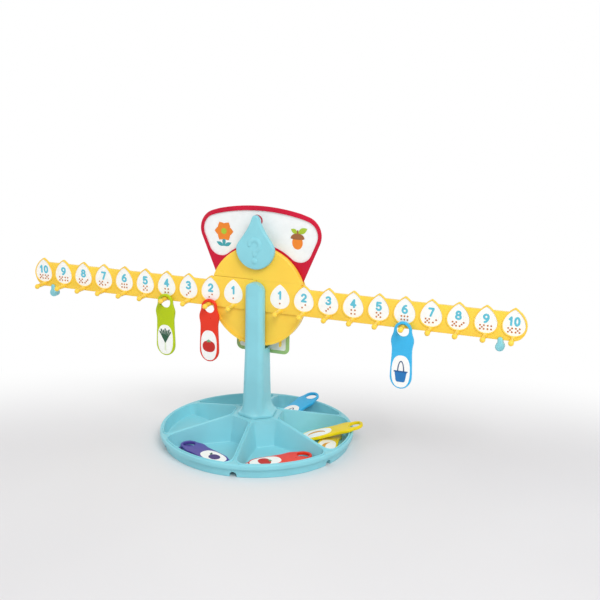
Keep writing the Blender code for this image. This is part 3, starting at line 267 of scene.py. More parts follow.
# Labels, numbers and dots
LABEL_ROUNDNESS = 0.6
LABEL_GROW = 0.0003
INLAY_INSET = 0.00012
DIGIT_HALF_WIDTH = 0.00162
DIGIT_HALF_HEIGHT = 0.00275
DIGIT_STROKE = 0.0016
DIGIT_RISE = 0.0033
TEN_DIGITS = ((1, -0.0025, 0.9), (0, 0.0020, 0.92))
PIP_RADIUS = 0.00072
PIP_PITCH = 0.0013
PIP_DROP = 0.0033
PIP_GROUP_SHIFT = 0.0027
PIP_GROUP_SHARE = 0.88

# Pointer's flanks and question mark
POINTER_NECK_LEAN = 17.0
POINTER_NECK_REACH = 0.0140
POINTER_FLANK_REACH = 0.0050
QUESTION_TOP = 0.0482
QUESTION_BOTTOM = 0.0268
QUESTION_HALF_WIDTH = 0.0063
QUESTION_STROKE = 0.0042
QUESTION_DOT_RADIUS = 0.0025
QUESTION_RISE = 0.0007
HOOK_START = 172
HOOK_END = -42

# Print on the sign and the card
MARK_REACH = -0.0024
MARK_HEIGHT = 0.0595
MARK_RADIUS = 0.0040
MARK_LINE = 0.0012
FLOWER_PLACE = (-0.0310, 0.0490)
FLOWER_PETALS = 6
PETAL_LENGTH = 0.0082
PETAL_HALF_WIDTH = 0.0035
FLOWER_HEART = 0.0024
ACORN_PLACE = (0.0315, 0.0480)
ACORN_HALF_WIDTH = 0.0044
ACORN_HEIGHT = 0.0105
ACORN_CAP_HALF_WIDTH = 0.0057
ACORN_CAP_HEIGHT = 0.0040
MOTIF_LEAF = 0.0090
CARD_BORDER = 0.0030

# Tokens; the origin of a token is where a peg's axis passes
TOKEN_EDGE_ROUND = 0.0006
RING_LOWER = 0.0006
RING_HALF_WIDTH = 0.0068
RING_HOLE_RADIUS = 0.0048
SHOULDER_HALF_WIDTH = 0.0087
SHOULDER_SHARE = 0.22
WAIST_HALF_WIDTH = 0.0077
WAIST_SHARE = 0.43
FOOT_HALF_WIDTH = 0.0084
FOOT_ROUND_HEIGHT = 0.0095
OVAL_FOOT_GAP = 0.0012
OVAL_HEIGHT = 0.0250
OVAL_WIDTH = 0.0141
OVAL_POWER = 2.5
RING_CENTRE = -TOKEN_HOLE_DROP - RING_LOWER
FOOT_CENTRE = FOOT_ROUND_HEIGHT - TOKEN_FOOT
OVAL_MIDDLE = -TOKEN_FOOT + OVAL_FOOT_GAP + OVAL_HEIGHT / 2

# Floor, light and camera
FLOOR_RADIUS = 6.0
FLOOR_THICKNESS = 0.01
FLOOR_GAP = 0.00005
FLOOR_FRONT = (0.277, -0.635, 0.0)
WHITE_START = 0.68
WHITE_END = 0.90
LIGHT_LEVEL = 0.56
LAMP_AIM = (0, 0, 0.1)
CAMERA_PLACE = (0.27688, -0.635, 0.29044)
CAMERA_AZIMUTH = 20.83
CAMERA_ELEVATION = 13.98
CAMERA_ROLL = 1.17
CAMERA_LENS = 54.03
SENSOR_WIDTH = 36.0

# Numbers of facets
CIRCLE_STEPS = 48
HUB_STEPS = 180
POST_STEPS = 144
LABEL_STEPS = 36
POINTER_STEPS = 72
RIM_STEPS = 40
BORDER_STEPS = 46
CROWN_STEPS = 28
CORNER_STEPS = 8


# Outlines and rings

def around(centre, reach, degrees):
    """A point at a distance and an angle from a centre."""
    angle = math.radians(degrees)
    return (centre[0] + reach * math.cos(angle), centre[1] + reach * math.sin(angle))


def arc(centre, radius, start, end, steps):
    """Points on a circle, from angle start to angle end in degrees."""
    return [around(centre, radius, start + (end - start) * step / steps)
            for step in range(steps + 1)]


def full_circle(centre, radius, steps):
    return arc(centre, radius, 0.0, 360.0, steps)[:-1]


def oval(centre, half_width, half_height, start, end, steps):
    """Points on an ellipse, from angle start to angle end in degrees."""
    return [(centre[0] + half_width * x, centre[1] + half_height * y)
            for x, y in arc((0, 0), 1, start, end, steps)]


def super_oval(centre, half_width, half_height, power, steps):
    """A fuller ellipse."""
    return [(centre[0] + math.copysign(half_width * abs(x) ** (2 / power), x),
             centre[1] + math.copysign(half_height * abs(y) ** (2 / power), y))
            for x, y in full_circle((0, 0), 1, steps)]


def box_outline(left, right, bottom, top):
    return [(left, bottom), (right, bottom), (right, top), (left, top)]


def opposite(points):
    """The points mirrored to the other side, in reverse order."""
    return [(-x, z) for x, z in reversed(points)]


def rounded(corners, radii, steps=CORNER_STEPS):
    """An outline whose corners are filleted; a radius of zero keeps the corner."""
    outline = []
    count = len(corners)
    for index, radius in enumerate(radii):
        corner = Vector(corners[index])
        before = (Vector(corners[index - 1]) - corner).normalized()
        after = (Vector(corners[(index + 1) % count]) - corner).normalized()
        half_angle = before.angle(after) / 2
        if radius == 0 or half_angle > math.radians(STRAIGHT_HALF_ANGLE):
            outline.append(tuple(corner))
            continue
        centre = corner + (before + after).normalized() * (radius / math.sin(half_angle))
        first = corner + before * (radius / math.tan(half_angle)) - centre
        turn = math.pi - 2 * half_angle
        side = 1 if before.x * after.y - before.y * after.x < 0 else -1
        for step in range(steps + 1):
            swung = Matrix.Rotation(side * turn * step / steps, 2) @ first
            outline.append(tuple(centre + swung))
    return outline


def inset(outline, distance):
    """The outline moved inward by a distance; the outline runs anticlockwise."""
    moved = []
    for index, point in enumerate(outline):
        here = Vector(point)
        after = Vector(outline[(index + 1) % len(outline)])
        first = (here - Vector(outline[index - 1])).normalized().orthogonal()
        second = (after - here).normalized().orthogonal()
        shift = (first + second) / (1 + first.dot(second))
        moved.append(tuple(here + shift * distance))
    return moved


def drop_outline(bottom, top, half_width, roundness, tip_radius, steps):
    """A drop with its tip up: half widths follow sin(t) * sin(t / 2) ** roundness downward."""
    middle = (top + bottom) / 2
    half_height = (top - bottom) / 2
    widest = math.acos(-roundness / (2 + roundness))
    scale = half_width / (math.sin(widest) * math.sin(widest / 2) ** roundness)
    right = []
    for step in range(steps - 1, 0, -1):
        turn = math.pi * step / steps
        height = middle + half_height * math.cos(turn)
        width = scale * math.sin(turn) * math.sin(turn / 2) ** roundness
        from_tip_centre = height - (top - tip_radius)
        if abs(from_tip_centre) < tip_radius:
            width = max(width, math.sqrt(tip_radius ** 2 - from_tip_centre ** 2))
        right.append((width, height))
    return [(0, top)] + opposite(right) + [(0, bottom)] + right


def bend(start, start_pull, end, end_pull, steps):
    """Points of a smooth curve from start to end; the pulls are its handles."""
    start = Vector(start)
    end = Vector(end)
    curve = interpolate_bezier(start, start + Vector(start_pull), end + Vector(end_pull), end,
                               steps)
    return [(point.x, point.y) for point in curve]


def at_depth(outline, depth):
    """The outline's (x, z) points as a ring at one depth along Y."""
    return [Vector((x, depth, z)) for x, z in outline]


def at_level(outline, level):
    """The outline's (x, y) points as a ring at one height."""
    return [Vector((x, y, level)) for x, y in outline]


def slab_rings(outline, front, back, front_round=0, back_round=0, steps=4):
    """Rings of a slab between two depths, with rounded front and back edges."""
    rings = []
    for face, width, way in ((front, front_round, 1), (back, back_round, -1)):
        edge = []
        for step in range(steps if width else 0):
            angle = math.pi / 2 * step / steps
            narrowed = inset(outline, width * (1 - math.sin(angle)))
            edge.append(at_depth(narrowed, face + way * width * (1 - math.cos(angle))))
        edge.append(at_depth(outline, face + way * width))
        rings += edge[::way]
    return rings


def turned_rings(profile, steps=CIRCLE_STEPS, centre=(0, 0), axis="Y"):
    """Circles of a turned piece; the profile lists radius and place along the axis."""
    ring = at_depth if axis == "Y" else at_level
    return [ring(full_circle(centre, radius, steps), place) for radius, place in profile]


def cylinder(radius, start, end, steps=CIRCLE_STEPS, centre=(0, 0), axis="Y"):
    return turned_rings([(radius, start), (radius, end)], steps, centre, axis)


def mirrored(rings, side):
    """The rings as they are for side 1, or mirrored to -X for side -1."""
    return [[Vector((side * point.x, point.y, point.z)) for point in ring] for ring in rings]


def stroke_rings(points, half_width, front, back, closed=False, domed=False):
    """A pen stroke of even width along a path in the XZ plane, with round ends."""
    path = [Vector(point) for point in points]
    count = len(path)
    stations = []
    for index, here in enumerate(path):
        before = path[index - 1] if index or closed else here
        after = path[(index + 1) % count] if index + 1 < count or closed else here
        stations.append((here, (after - before).normalized(), 1.0))
    if not closed:
        caps = [around((0, 0), 1, degrees) for degrees in (80, 60, 40, 20)]
        first, along, _ = stations[0]
        last, onward, _ = stations[-1]
        lead = [(first - along * half_width * far, along, share) for share, far in caps]
        tail = [(last + onward * half_width * far, onward, share) for share, far in caps[::-1]]
        stations = lead + stations + tail
    section = [(-1, back), (-1, front), (1, front), (1, back)]
    if domed:
        section = [(-x, back + (front - back) * y) for x, y in arc((0, 0), 1, 0, 180, 6)]
    rings = []
    for here, along, share in stations:
        across = along.orthogonal() * half_width * share
        rings.append([Vector((here.x + across.x * x, depth, here.y + across.y * x))
                      for x, depth in section])
    return rings


# Meshes

def add_bands(mesh, rows):
    """Adds the faces between each row of vertices and the next one, and gives them back."""
    faces = []
    for low, high in zip(rows, rows[1:]):
        for index in range(len(low)):
            following = (index + 1) % len(low)
            faces.append(mesh.faces.new((low[index], low[following], high[following],
                                         high[index])))
    return faces


def add_bodies(mesh, bodies, looped=()):
    """Adds closed bodies, each a list of rings, to a bmesh; looped ones have no end caps."""
    for index, rings in enumerate([*bodies, *looped]):
        rows = [[mesh.verts.new(point) for point in ring] for ring in rings]
        if index < len(bodies):
            faces = add_bands(mesh, rows)
            faces.append(mesh.faces.new(rows[0][::-1]))
            faces.append(mesh.faces.new(rows[-1]))
        else:
            faces = add_bands(mesh, rows + rows[:1])
        bmesh.ops.recalc_face_normals(mesh, faces=faces)


def link(name, data):
    """A mesh or other data as an object in the scene."""
    made = bpy.data.objects.new(name, data)
    bpy.context.scene.collection.objects.link(made)
    return made


def finished(name, shape):
    """A bmesh as an object in the scene."""
    data = bpy.data.meshes.new(name)
    shape.to_mesh(data)
    shape.free()
    return link(name, data)


def solid(name, bodies, looped=()):
    """One object from closed bodies."""
    shape = bmesh.new()
    add_bodies(shape, bodies, looped)
    return finished(name, shape)


def absorb(target, bodies, looped=()):
    """Adds closed bodies that stand partly inside the target to its mesh."""
    shape = bmesh.new()
    shape.from_mesh(target.data)
    add_bodies(shape, bodies, looped)
    shape.to_mesh(target.data)
    shape.free()


def settle(target):
    """Applies the target's modifiers to its mesh."""
    graph = bpy.context.evaluated_depsgraph_get()
    mesh = bpy.data.meshes.new_from_object(target.evaluated_get(graph))
    target.modifiers.clear()
    target.data = mesh


def carve(target, bodies, operation="DIFFERENCE"):
    """Cuts the bodies from the target, or joins them to it, and keeps the plain mesh."""
    tool = solid("tool", bodies)
    step = target.modifiers.new("step", "BOOLEAN")
    step.object = tool
    step.operation = operation
    step.solver = "EXACT"
    settle(target)
    bpy.data.objects.remove(tool)


def soften(target, width):
    """Rounds a piece's sharp edges a little."""
    step = target.modifiers.new("edges", "BEVEL")
    step.width = width
    step.segments = 3
    step.limit_method = "ANGLE"
    step.angle_limit = math.radians(BEVEL_ANGLE)
    step.use_clamp_overlap = True
    settle(target)


def dress(made, finish, body, place=AT_PIVOT):
    """Carries a piece to its place, shades it and ties it to its body.

    A piece called NODE_dressed takes the place of that CAD node, which is hidden.
    """
    made.data.transform(place)
    made.data.shade_smooth()
    made.data.set_sharp_from_angle(angle=math.radians(SMOOTH_ANGLE))
    made.data.materials.clear()
    made.data.materials.append(finishes[finish])
    node = made.name.removesuffix("_dressed")
    nodes = [node] if node != made.name else []
    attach(made, body)
    if nodes:
        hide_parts(*nodes)


# Materials

def srgb(*values):
    """Linear colour from the 0 to 255 values that a screen shows."""
    shares = [value / 255 for value in values]
    return tuple(share / 12.92 if share <= 0.04045 else ((share + 0.055) / 1.055) ** 2.4
                 for share in shares)


def shaded(colour, share):
    return tuple(min(1.0, value * share) for value in colour)


def add_node(tree, kind, inputs):
    """Adds a shader node; each input is another node's output or a constant."""
    node = tree.nodes.new("ShaderNode" + kind)
    for socket, value in inputs.items():
        if isinstance(value, bpy.types.NodeSocket):
            tree.links.new(value, node.inputs[socket])
        else:
            node.inputs[socket].default_value = value
    return node


class Finish:
    """A Principled material whose colour, gloss and relief come from noise in object space."""

    def __init__(self, name, roughness, metallic=0.0):
        self.material = bpy.data.materials.new(name)
        self.material.use_nodes = True
        self.tree = self.material.node_tree
        self.shader = self.tree.nodes["Principled BSDF"]
        self.shader.inputs["Metallic"].default_value = metallic
        self.roughness = roughness
        self.place = add_node(self.tree, "TexCoord", {}).outputs["Object"]

    def noise(self, scale, detail, stretch=None):
        where = self.place
        if stretch:
            mapping = add_node(self.tree, "Mapping", {"Vector": where, "Scale": stretch})
            where = mapping.outputs["Vector"]
        inputs = {"Vector": where, "Scale": scale, "Detail": detail}
        return add_node(self.tree, "TexNoise", inputs).outputs["Fac"]

    def colour(self, dark, light, scale, detail=3.0):
        ramp = add_node(self.tree, "ValToRGB", {"Fac": self.noise(scale, detail)})
        for element, shade, position in zip(ramp.color_ramp.elements, (dark, light), (0.35, 0.65)):
            element.color = (*shade, 1.0)
            element.position = position
        self.tree.links.new(ramp.outputs["Color"], self.shader.inputs["Base Color"])
        self.material.diffuse_color = (*light, 1.0)

    def gloss(self, scale, swing):
        node = add_node(self.tree, "MapRange", {
            "Value": self.noise(scale, 4.0), "From Min": 0.3, "From Max": 0.7,
            "To Min": self.roughness - swing, "To Max": self.roughness + swing})
        self.tree.links.new(node.outputs["Result"], self.shader.inputs["Roughness"])

    def relief(self, scale, strength, distance, stretch=None):
        node = add_node(self.tree, "Bump", {
            "Height": self.noise(scale, 2.0, stretch), "Strength": strength, "Distance": distance})
        self.tree.links.new(node.outputs["Normal"], self.shader.inputs["Normal"])


def moulded(name, colour, roughness, cloud, glow):
    """Moulded plastic: faint flow clouds, uneven gloss, a fine tool grain and a little glow."""
    finish = Finish(name, roughness)
    finish.colour(shaded(colour, 1 - cloud), shaded(colour, 1 + cloud), 30)
    finish.gloss(170, 0.07)
    finish.relief(2600, 0.14, 0.00005)
    for socket, value in (("Subsurface Weight", 0.08), ("Subsurface Radius", glow),
                          ("Subsurface Scale", 0.001), ("Specular IOR Level", 0.3)):
        finish.shader.inputs[socket].default_value = value
    return finish.material


def printed(name, colour, roughness=0.5):
    """Ink or sheet: matt, with a faint mottle and paper tooth."""
    finish = Finish(name, roughness)
    finish.colour(shaded(colour, 0.97), shaded(colour, 1.01), 220, 5.0)
    finish.gloss(400, 0.05)
    finish.relief(5200, 0.10, 0.00003)
    return finish.material


def steel(name):
    """Zinc plate: cloudy grey with fine turning marks."""
    finish = Finish(name, 0.34, 1.0)
    finish.colour((0.50, 0.50, 0.52), (0.70, 0.70, 0.72), 420, 5.0)
    finish.gloss(900, 0.10)
    finish.relief(2400, 0.2, 0.00004, (1.0, 6.0, 1.0))
    return finish.material


# A plastic's colour on a screen, roughness, strength of clouds, and glow in red, green and blue
PLASTICS = {
    "yellow": ((255, 210, 74), 0.34, 0.04, (1.0, 0.55, 0.15)),
    "turquoise": ((140, 209, 220), 0.36, 0.05, (0.5, 0.9, 1.0)),
    "crimson": ((200, 4, 50), 0.38, 0.06, (1.0, 0.2, 0.2)),
    "lime": ((184, 205, 0), 0.36, 0.05, (0.8, 1.0, 0.2)),
    "red": ((233, 54, 28), 0.34, 0.05, (1.0, 0.3, 0.2)),
    "blue": ((60, 182, 232), 0.34, 0.05, (0.3, 0.8, 1.0)),
    "bright_yellow": ((238, 211, 4), 0.34, 0.04, (1.0, 0.8, 0.1)),
    "purple": ((86, 74, 158), 0.36, 0.06, (0.6, 0.4, 1.0)),
}
INKS = {
    "card_edge": (162, 202, 126),
    "crimson_ink": (200, 8, 50),
    "orange_ink": (238, 132, 30),
    "ochre_ink": (222, 158, 50),
    "teal_ink": (60, 160, 168),
    "brown_ink": (156, 96, 50),
    "lime_ink": (168, 196, 44),
    "dark_green_ink": (30, 84, 58),
    "pale_green_ink": (226, 236, 206),
    "leaf_ink": (96, 168, 120),
    "tomato_ink": (196, 26, 10),
    "dark_blue_ink": (22, 116, 184),
    "deep_blue_ink": (20, 92, 152),
    "slate_ink": (74, 98, 130),
    "dark_purple_ink": (62, 40, 110),
}
finishes = {
    "nylon": moulded("white_nylon_moulded", (0.84, 0.84, 0.80), 0.42, 0.03, (1.0, 1.0, 1.0)),
    "zinc": steel("zinc_plate"),
    "white_print": printed("white_print", (0.97, 0.965, 0.93), 0.42),
    "white_sheet": printed("white_sheet", (0.90, 0.92, 0.91)),
    "card_face": printed("card_face", (0.90, 0.93, 0.86)),
    "digit_ink": printed("digit_ink", srgb(92, 192, 214), 0.42),
    "pip_ink": printed("pip_ink", srgb(194, 116, 58), 0.42),
}
for plastic, (shade, roughness, cloud, glow) in PLASTICS.items():
    finishes[plastic] = moulded(plastic + "_moulded", srgb(*shade), roughness, cloud, glow)
for ink, shade in INKS.items():
    finishes[ink] = printed(ink, srgb(*shade))


# Beam

def label_outline(grow):
    """The drop round a number, moved outward by grow."""
    return drop_outline(-LABEL_BOTTOM - grow, LABEL_TOP + grow, LABEL_HALF_WIDTH + grow,
                        LABEL_ROUNDNESS, LABEL_RIM_WIDTH / 2 + grow / 2, LABEL_STEPS)


def arm_outline():
    """The right arm from the front: its end follows the last number's drop."""
    drop = label_outline(LABEL_RIM_WIDTH)
    middle = PEGS_PER_ARM * PEG_PITCH
    widest = max(drop)
    outline = [(CLEARANCE / 2, -ARM_BOTTOM)]
    outline += oval((middle, widest[1]), widest[0], ARM_BOTTOM + widest[1], 270, 360, CORNER_STEPS)
    outline += [(middle + x, z) for x, z in drop if x > 0 and z > widest[1]]
    peak = sorted((point for point in drop if point[1] > ARM_TOP), reverse=True)
    shoulder = peak[0][0] + (peak[0][1] - ARM_TOP)
    for number in range(PEGS_PER_ARM, FIRST_RIM_PEG - 1, -1):
        middle = number * PEG_PITCH
        last = number == PEGS_PER_ARM
        if not last:
            outline.append((middle + shoulder, ARM_TOP))
        outline += [(middle + x, z) for x, z in peak if x <= 0 or not last]
        if number > FIRST_RIM_PEG:
            outline.append((middle - shoulder, ARM_TOP))
    tongue_end = math.sqrt(HUB_RADIUS ** 2 - TONGUE_TOP ** 2)
    outline = [point for point in outline if point[0] > tongue_end or point[1] < 0]
    outline += [(tongue_end, LABEL_TOP), (tongue_end - CLEARANCE, TONGUE_TOP)]
    outline.append((CLEARANCE / 2, TONGUE_TOP))
    return outline


def peg_rings(number, side):
    """A tapered peg whose ball end sags a little, standing out of the arm's front face."""
    ball = ARM_FRONT - PEG_REACH - PEG_LONGER + PEG_BALL_RADIUS
    neck = math.asin(PEG_RADIUS / PEG_BALL_RADIUS)
    profile = [(PEG_ROOT_RADIUS, ARM_FRONT + WELD_DEPTH), (PEG_ROOT_RADIUS, ARM_FRONT)]
    for step in range(9):
        angle = math.pi - neck - (math.pi - neck - PEG_TIP_ANGLE) * step / 8
        profile.append((PEG_BALL_RADIUS * math.sin(angle),
                        ball - PEG_BALL_RADIUS * math.cos(angle)))
    rings = turned_rings(profile, 24, (side * number * PEG_PITCH, -PEG_DROP))
    for ring in rings:
        for point in ring:
            share = max(0, (ARM_FRONT - point.y) / (PEG_REACH + PEG_LONGER))
            point.z -= PEG_SAG * share ** 2
    return rings


def rim_rings(number, side):
    """The raised, round-topped rim about one number."""
    width = LABEL_RIM_WIDTH - LABEL_GROW - CLEARANCE / 2
    section = [(share, -rise * LABEL_RIM_HEIGHT) for share, rise in RIM_SECTION]
    rings = []
    for share, depth in [(0.0, WELD_DEPTH)] + section + [(1.0, WELD_DEPTH)]:
        outline = [(side * number * PEG_PITCH + x, z)
                   for x, z in label_outline(LABEL_GROW + share * width)]
        rings.append(at_depth(outline, ARM_FRONT + depth))
    return rings


def arms():
    """Both arms with pegs, rims and flush drops behind the numbers."""
    reach = HUB_HALF_THICKNESS + CUT_OVERRUN
    for name, side in (("left_arm", -1), ("right_arm", 1)):
        rings = slab_rings(arm_outline(), ARM_FRONT, ARM_BACK, ARM_EDGE_ROUND, ARM_EDGE_ROUND, 3)
        made = solid(name + "_dressed", [mirrored(rings, side)])
        carve(made, [cylinder(AXLE_RADIUS + BUSH_WALL + 3 * CLEARANCE, -reach, reach)])
        behind = box_outline(HUB_RADIUS, (PEGS_PER_ARM + 1) * PEG_PITCH,
                             ARM_TOP + PRINT_STEP, LABEL_TOP + LABEL_RIM_WIDTH + CUT_OVERRUN)
        carve(made, [mirrored(slab_rings(behind, ARM_FRONT + PEAK_THICKNESS, reach), side)])
        absorb(made, [peg_rings(number, side) for number in range(1, PEGS_PER_ARM + 1)],
               [rim_rings(number, side) for number in range(FIRST_RIM_PEG, PEGS_PER_ARM + 1)])
        dress(made, "yellow", "beam")


def digit_paths(digit):
    """A digit's closed and open centre lines, in shares of its half width and half height."""
    if digit == 9:
        return [[[(-x, -z) for x, z in path] for path in paths] for paths in digit_paths(6)]
    loops = {
        0: [oval((0, 0), 1, 1, 0, 360, 28)],
        6: [oval((0, -0.42), 1.02, 0.58, 0, 360, 24)],
        8: [oval((0, 0.52), 0.85, 0.48, 0, 360, 24), oval((0, -0.48), 1.05, 0.52, 0, 360, 24)],
    }
    lines = {
        1: [[(-0.6, 0.5), (0.2, 1)], [(0.2, 1), (0.2, -1)]],
        2: [oval((0, 0.42), 1, 0.58, 165, -38, 18) + [(-1, -1)], [(-1, -1), (1, -1)]],
        3: [oval((-0.05, 0.52), 0.95, 0.48, 150, -90, 16),
            oval((-0.05, -0.46), 1.05, 0.54, 90, -150, 18)],
        4: [[(0.4, -1), (0.4, 1)], [(0.4, 1), (-1.05, -0.42)], [(-1.05, -0.42), (1.05, -0.42)]],
        5: [[(0.85, 1), (-0.75, 1)], [(-0.75, 1), (-0.85, 0.12)],
            oval((-0.05, -0.36), 1.05, 0.64, 140, -150, 20)],
        6: [oval((0.75, -0.42), 1.77, 1.42, 180, 96, 12)],
        7: [[(-1, 1), (1, 1)], [(1, 1), (-0.3, -1)]],
    }
    return [path[:-1] for path in loops.get(digit, [])], lines.get(digit, [])


def number_rings(number, side, front):
    """Open and closed strokes of a label's number."""
    opened, closed = [], []
    digits = TEN_DIGITS if number == PEGS_PER_ARM else [(number, 0.0, 1.0)]
    for digit, shift, share in digits:
        loops, lines = digit_paths(digit)
        middle = side * number * PEG_PITCH + shift
        for layer, path in enumerate(loops + lines):
            points = [(middle + x * DIGIT_HALF_WIDTH * share, DIGIT_RISE + z * DIGIT_HALF_HEIGHT)
                      for x, z in path]
            is_loop = layer < len(loops)
            rings = stroke_rings(points, DIGIT_STROKE / 2, front - PRINT_RISE - layer * PRINT_STEP,
                                 front + WELD_DEPTH, is_loop)
            (closed if is_loop else opened).append(rings)
    return opened, closed


def pip_places(count):
    """Where the dots of a number stand, in metres from the middle of their row."""
    patterns = {
        1: [(0, 0)], 2: [(-1, -0.9), (1, 0.9)], 3: [(-1.2, -1.2), (0, 0), (1.2, 1.2)],
        4: [(-1.1, 1.1), (1.1, 1.1), (-1.1, -1.1), (1.1, -1.1)],
        5: [(-1.2, 1.2), (1.2, 1.2), (0, 0), (-1.2, -1.2), (1.2, -1.2)],
        6: [(x, z) for x in (-1.8, 0, 1.8) for z in (-1, 1)],
    }
    if count <= 6:
        return [(x * PIP_PITCH, z * PIP_PITCH) for x, z in patterns[count]]
    pitch = PIP_PITCH * PIP_GROUP_SHARE
    return [(x * pitch + side * PIP_GROUP_SHIFT, z * pitch)
            for side, group in ((-1, 5), (1, count - 5)) for x, z in patterns[group]]


def labels():
    """White drops, numbers and dots, in three pieces for each arm."""
    for name, side in (("left", -1), ("right", 1)):
        drops, strokes, loops, dots = [], [], [], []
        for number in range(1, PEGS_PER_ARM + 1):
            middle = side * number * PEG_PITCH
            front = ARM_FRONT - PRINT_RISE * (1 if number < FIRST_RIM_PEG else 2)
            outline = [(middle + x, z) for x, z in label_outline(LABEL_GROW - INLAY_INSET)]
            drops.append(slab_rings(outline, front, ARM_FRONT + WELD_DEPTH))
            opened, closed = number_rings(number, side, front)
            strokes += opened
            loops += closed
            dots += [cylinder(PIP_RADIUS, front + WELD_DEPTH, front - PRINT_RISE, 14,
                              (middle + x, z - PIP_DROP)) for x, z in pip_places(number)]
        dress(solid(name + "_label_drops", drops), "white_print", "beam")
        dress(solid(name + "_label_numbers", strokes, loops), "digit_ink", "beam")
        dress(solid(name + "_label_dots", dots), "pip_ink", "beam")


def slot_outline():
    """The curved slot that the pointer's stem moves in, round the pivot."""
    half_width = STEM_RADIUS + 2 * CLEARANCE
    spread = TILT_LIMIT + math.degrees(2 * CLEARANCE / STEM_HEIGHT)
    start = 90 - spread
    end = 90 + spread
    outline = arc((0, 0), STEM_HEIGHT + half_width, start, end, 16)
    outline += arc(around((0, 0), STEM_HEIGHT, end), half_width, end, end + 180, 14)[1:-1]
    outline += arc((0, 0), STEM_HEIGHT - half_width, end, start, 16)
    outline += arc(around((0, 0), STEM_HEIGHT, start), half_width, start - 180, start, 14)[1:-1]
    return outline


def screw_places():
    return [(side * HUB_SCREW_REACH, rise) for side in (-1, 1)
            for rise in (-HUB_SCREW_RISE, HUB_SCREW_RISE)]


def hub_bores(made):
    """The bush bore, the stem slot and the screw holes through one cover."""
    reach = HUB_HALF_THICKNESS + CUT_OVERRUN
    holes = [cylinder(AXLE_RADIUS + BUSH_WALL + 2 * CLEARANCE, -reach, reach)]
    for centre in screw_places():
        holes.append(cylinder(SCREW_RADIUS + CLEARANCE, -reach, reach, 24, centre))
    carve(made, holes)
    carve(made, [slab_rings(slot_outline(), -reach, reach)])


def hub_front():
    """Front cover: flush with the arms above, set back behind a lip below them."""
    outline = full_circle((0, 0), HUB_RADIUS, HUB_STEPS)
    made = solid("hub_front_dressed", [
        slab_rings(outline, -HUB_HALF_THICKNESS, COVER_SPLIT, HUB_EDGE_ROUND)])
    front = -HUB_HALF_THICKNESS - CUT_OVERRUN
    width = HUB_RADIUS + CUT_OVERRUN
    channel = box_outline(-width, width, -ARM_BOTTOM - CLEARANCE, TONGUE_TOP + CLEARANCE)
    carve(made, [slab_rings(channel, front, ARM_BACK + CLEARANCE)])
    below = box_outline(-width, width, -width, -ARM_BOTTOM - CLEARANCE - WELD_DEPTH / 2)
    carve(made, [slab_rings(below, front, HUB_LIP_DROP - HUB_HALF_THICKNESS)])
    inner = HUB_RADIUS - HUB_LIP_WIDTH
    edge = math.degrees(math.asin((ARM_BOTTOM + CLEARANCE - WELD_DEPTH) / inner))
    segment = arc((0, 0), inner, 180 + edge, 360 - edge, HUB_STEPS // 2)
    carve(made, [slab_rings(segment, front, HUB_FACE_DROP - HUB_HALF_THICKNESS)])
    hub_bores(made)
    seam = box_outline(SEAM_START, inner, TONGUE_TOP - ARM_EDGE_ROUND, TONGUE_TOP + 2 * CLEARANCE)
    absorb(made, [slab_rings(seam, -HUB_HALF_THICKNESS - PRINT_STEP, ARM_BACK - WELD_DEPTH)])
    dress(made, "yellow", "beam")


def hub_rear():
    """Rear cover with the sign's seat, the card's rails and the two prongs."""
    back = HUB_HALF_THICKNESS
    outline = full_circle((0, 0), HUB_RADIUS, HUB_STEPS)
    made = solid("hub_rear_dressed", [
        slab_rings(outline, REAR_COVER_FRONT, back, 0, HUB_EDGE_ROUND)])
    rail_inner = CARD_WIDTH / 2 - RAIL_BITE
    rail_back = CARD_BACK + CLEARANCE + RAIL_LIP
    rail = rounded(box_outline(rail_inner, rail_inner + RAIL_WIDTH, -RAIL_BOTTOM, RAIL_TOP),
                   [RAIL_LIP / 2] * 4, 5)
    inner = PRONG_REACH - PRONG_WIDTH / 2
    prong = rounded(box_outline(inner, inner + PRONG_SLIM_WIDTH, -PRONG_TIP, -PRONG_ROOT),
                    [PRONG_SLIM_WIDTH / 3, PRONG_SLIM_WIDTH / 3, 0, 0], 6)
    groove = box_outline(rail_inner - CUT_OVERRUN, CARD_WIDTH / 2 + CLEARANCE,
                         -RAIL_BOTTOM - CUT_OVERRUN, RAIL_TOP + CUT_OVERRUN)
    holders, grooves = [], []
    for side in (-1, 1):
        for shape, start, end in ((rail, back - WELD_DEPTH, rail_back),
                                  (prong, back - 2 * WELD_DEPTH, back + PRONG_SLIM_DEPTH)):
            holders.append(mirrored(slab_rings(shape, start, end, 0, RAIL_LIP / 3), side))
        grooves.append(mirrored(
            slab_rings(groove, CARD_FRONT - CLEARANCE, CARD_BACK + CLEARANCE), side))
    carve(made, holders, "UNION")
    carve(made, grooves)
    foot = HUB_RADIUS - SIGN_FOOT_DEPTH - CLEARANCE
    spread = math.degrees(math.asin(SIGN_TIP_HEIGHT / HUB_RADIUS)) - SIGN_SEAT_ROOM
    seat = arc((0, 0), HUB_RADIUS + CUT_OVERRUN, spread, 180 - spread, HUB_STEPS // 2)
    seat += arc((0, 0), foot, 180 - spread, spread, HUB_STEPS // 2)
    carve(made, [slab_rings(seat, REAR_COVER_FRONT - CUT_OVERRUN, SIGN_BACK + CLEARANCE)])
    hub_bores(made)
    sink = back - SCREW_HEAD_THICKNESS - CLEARANCE
    carve(made, [cylinder(SCREW_HEAD_RADIUS + CLEARANCE, sink, back + CUT_OVERRUN, 32, centre)
                 for centre in screw_places()])
    dress(made, "yellow", "beam")


# Sign and card

def crown_height(reach, drop):
    """Height of the sign's top edge at a distance from its middle, lowered by drop."""
    radius = SIGN_CROWN_RADIUS - drop
    return SIGN_CROWN - SIGN_CROWN_RADIUS + math.sqrt(radius ** 2 - reach ** 2)


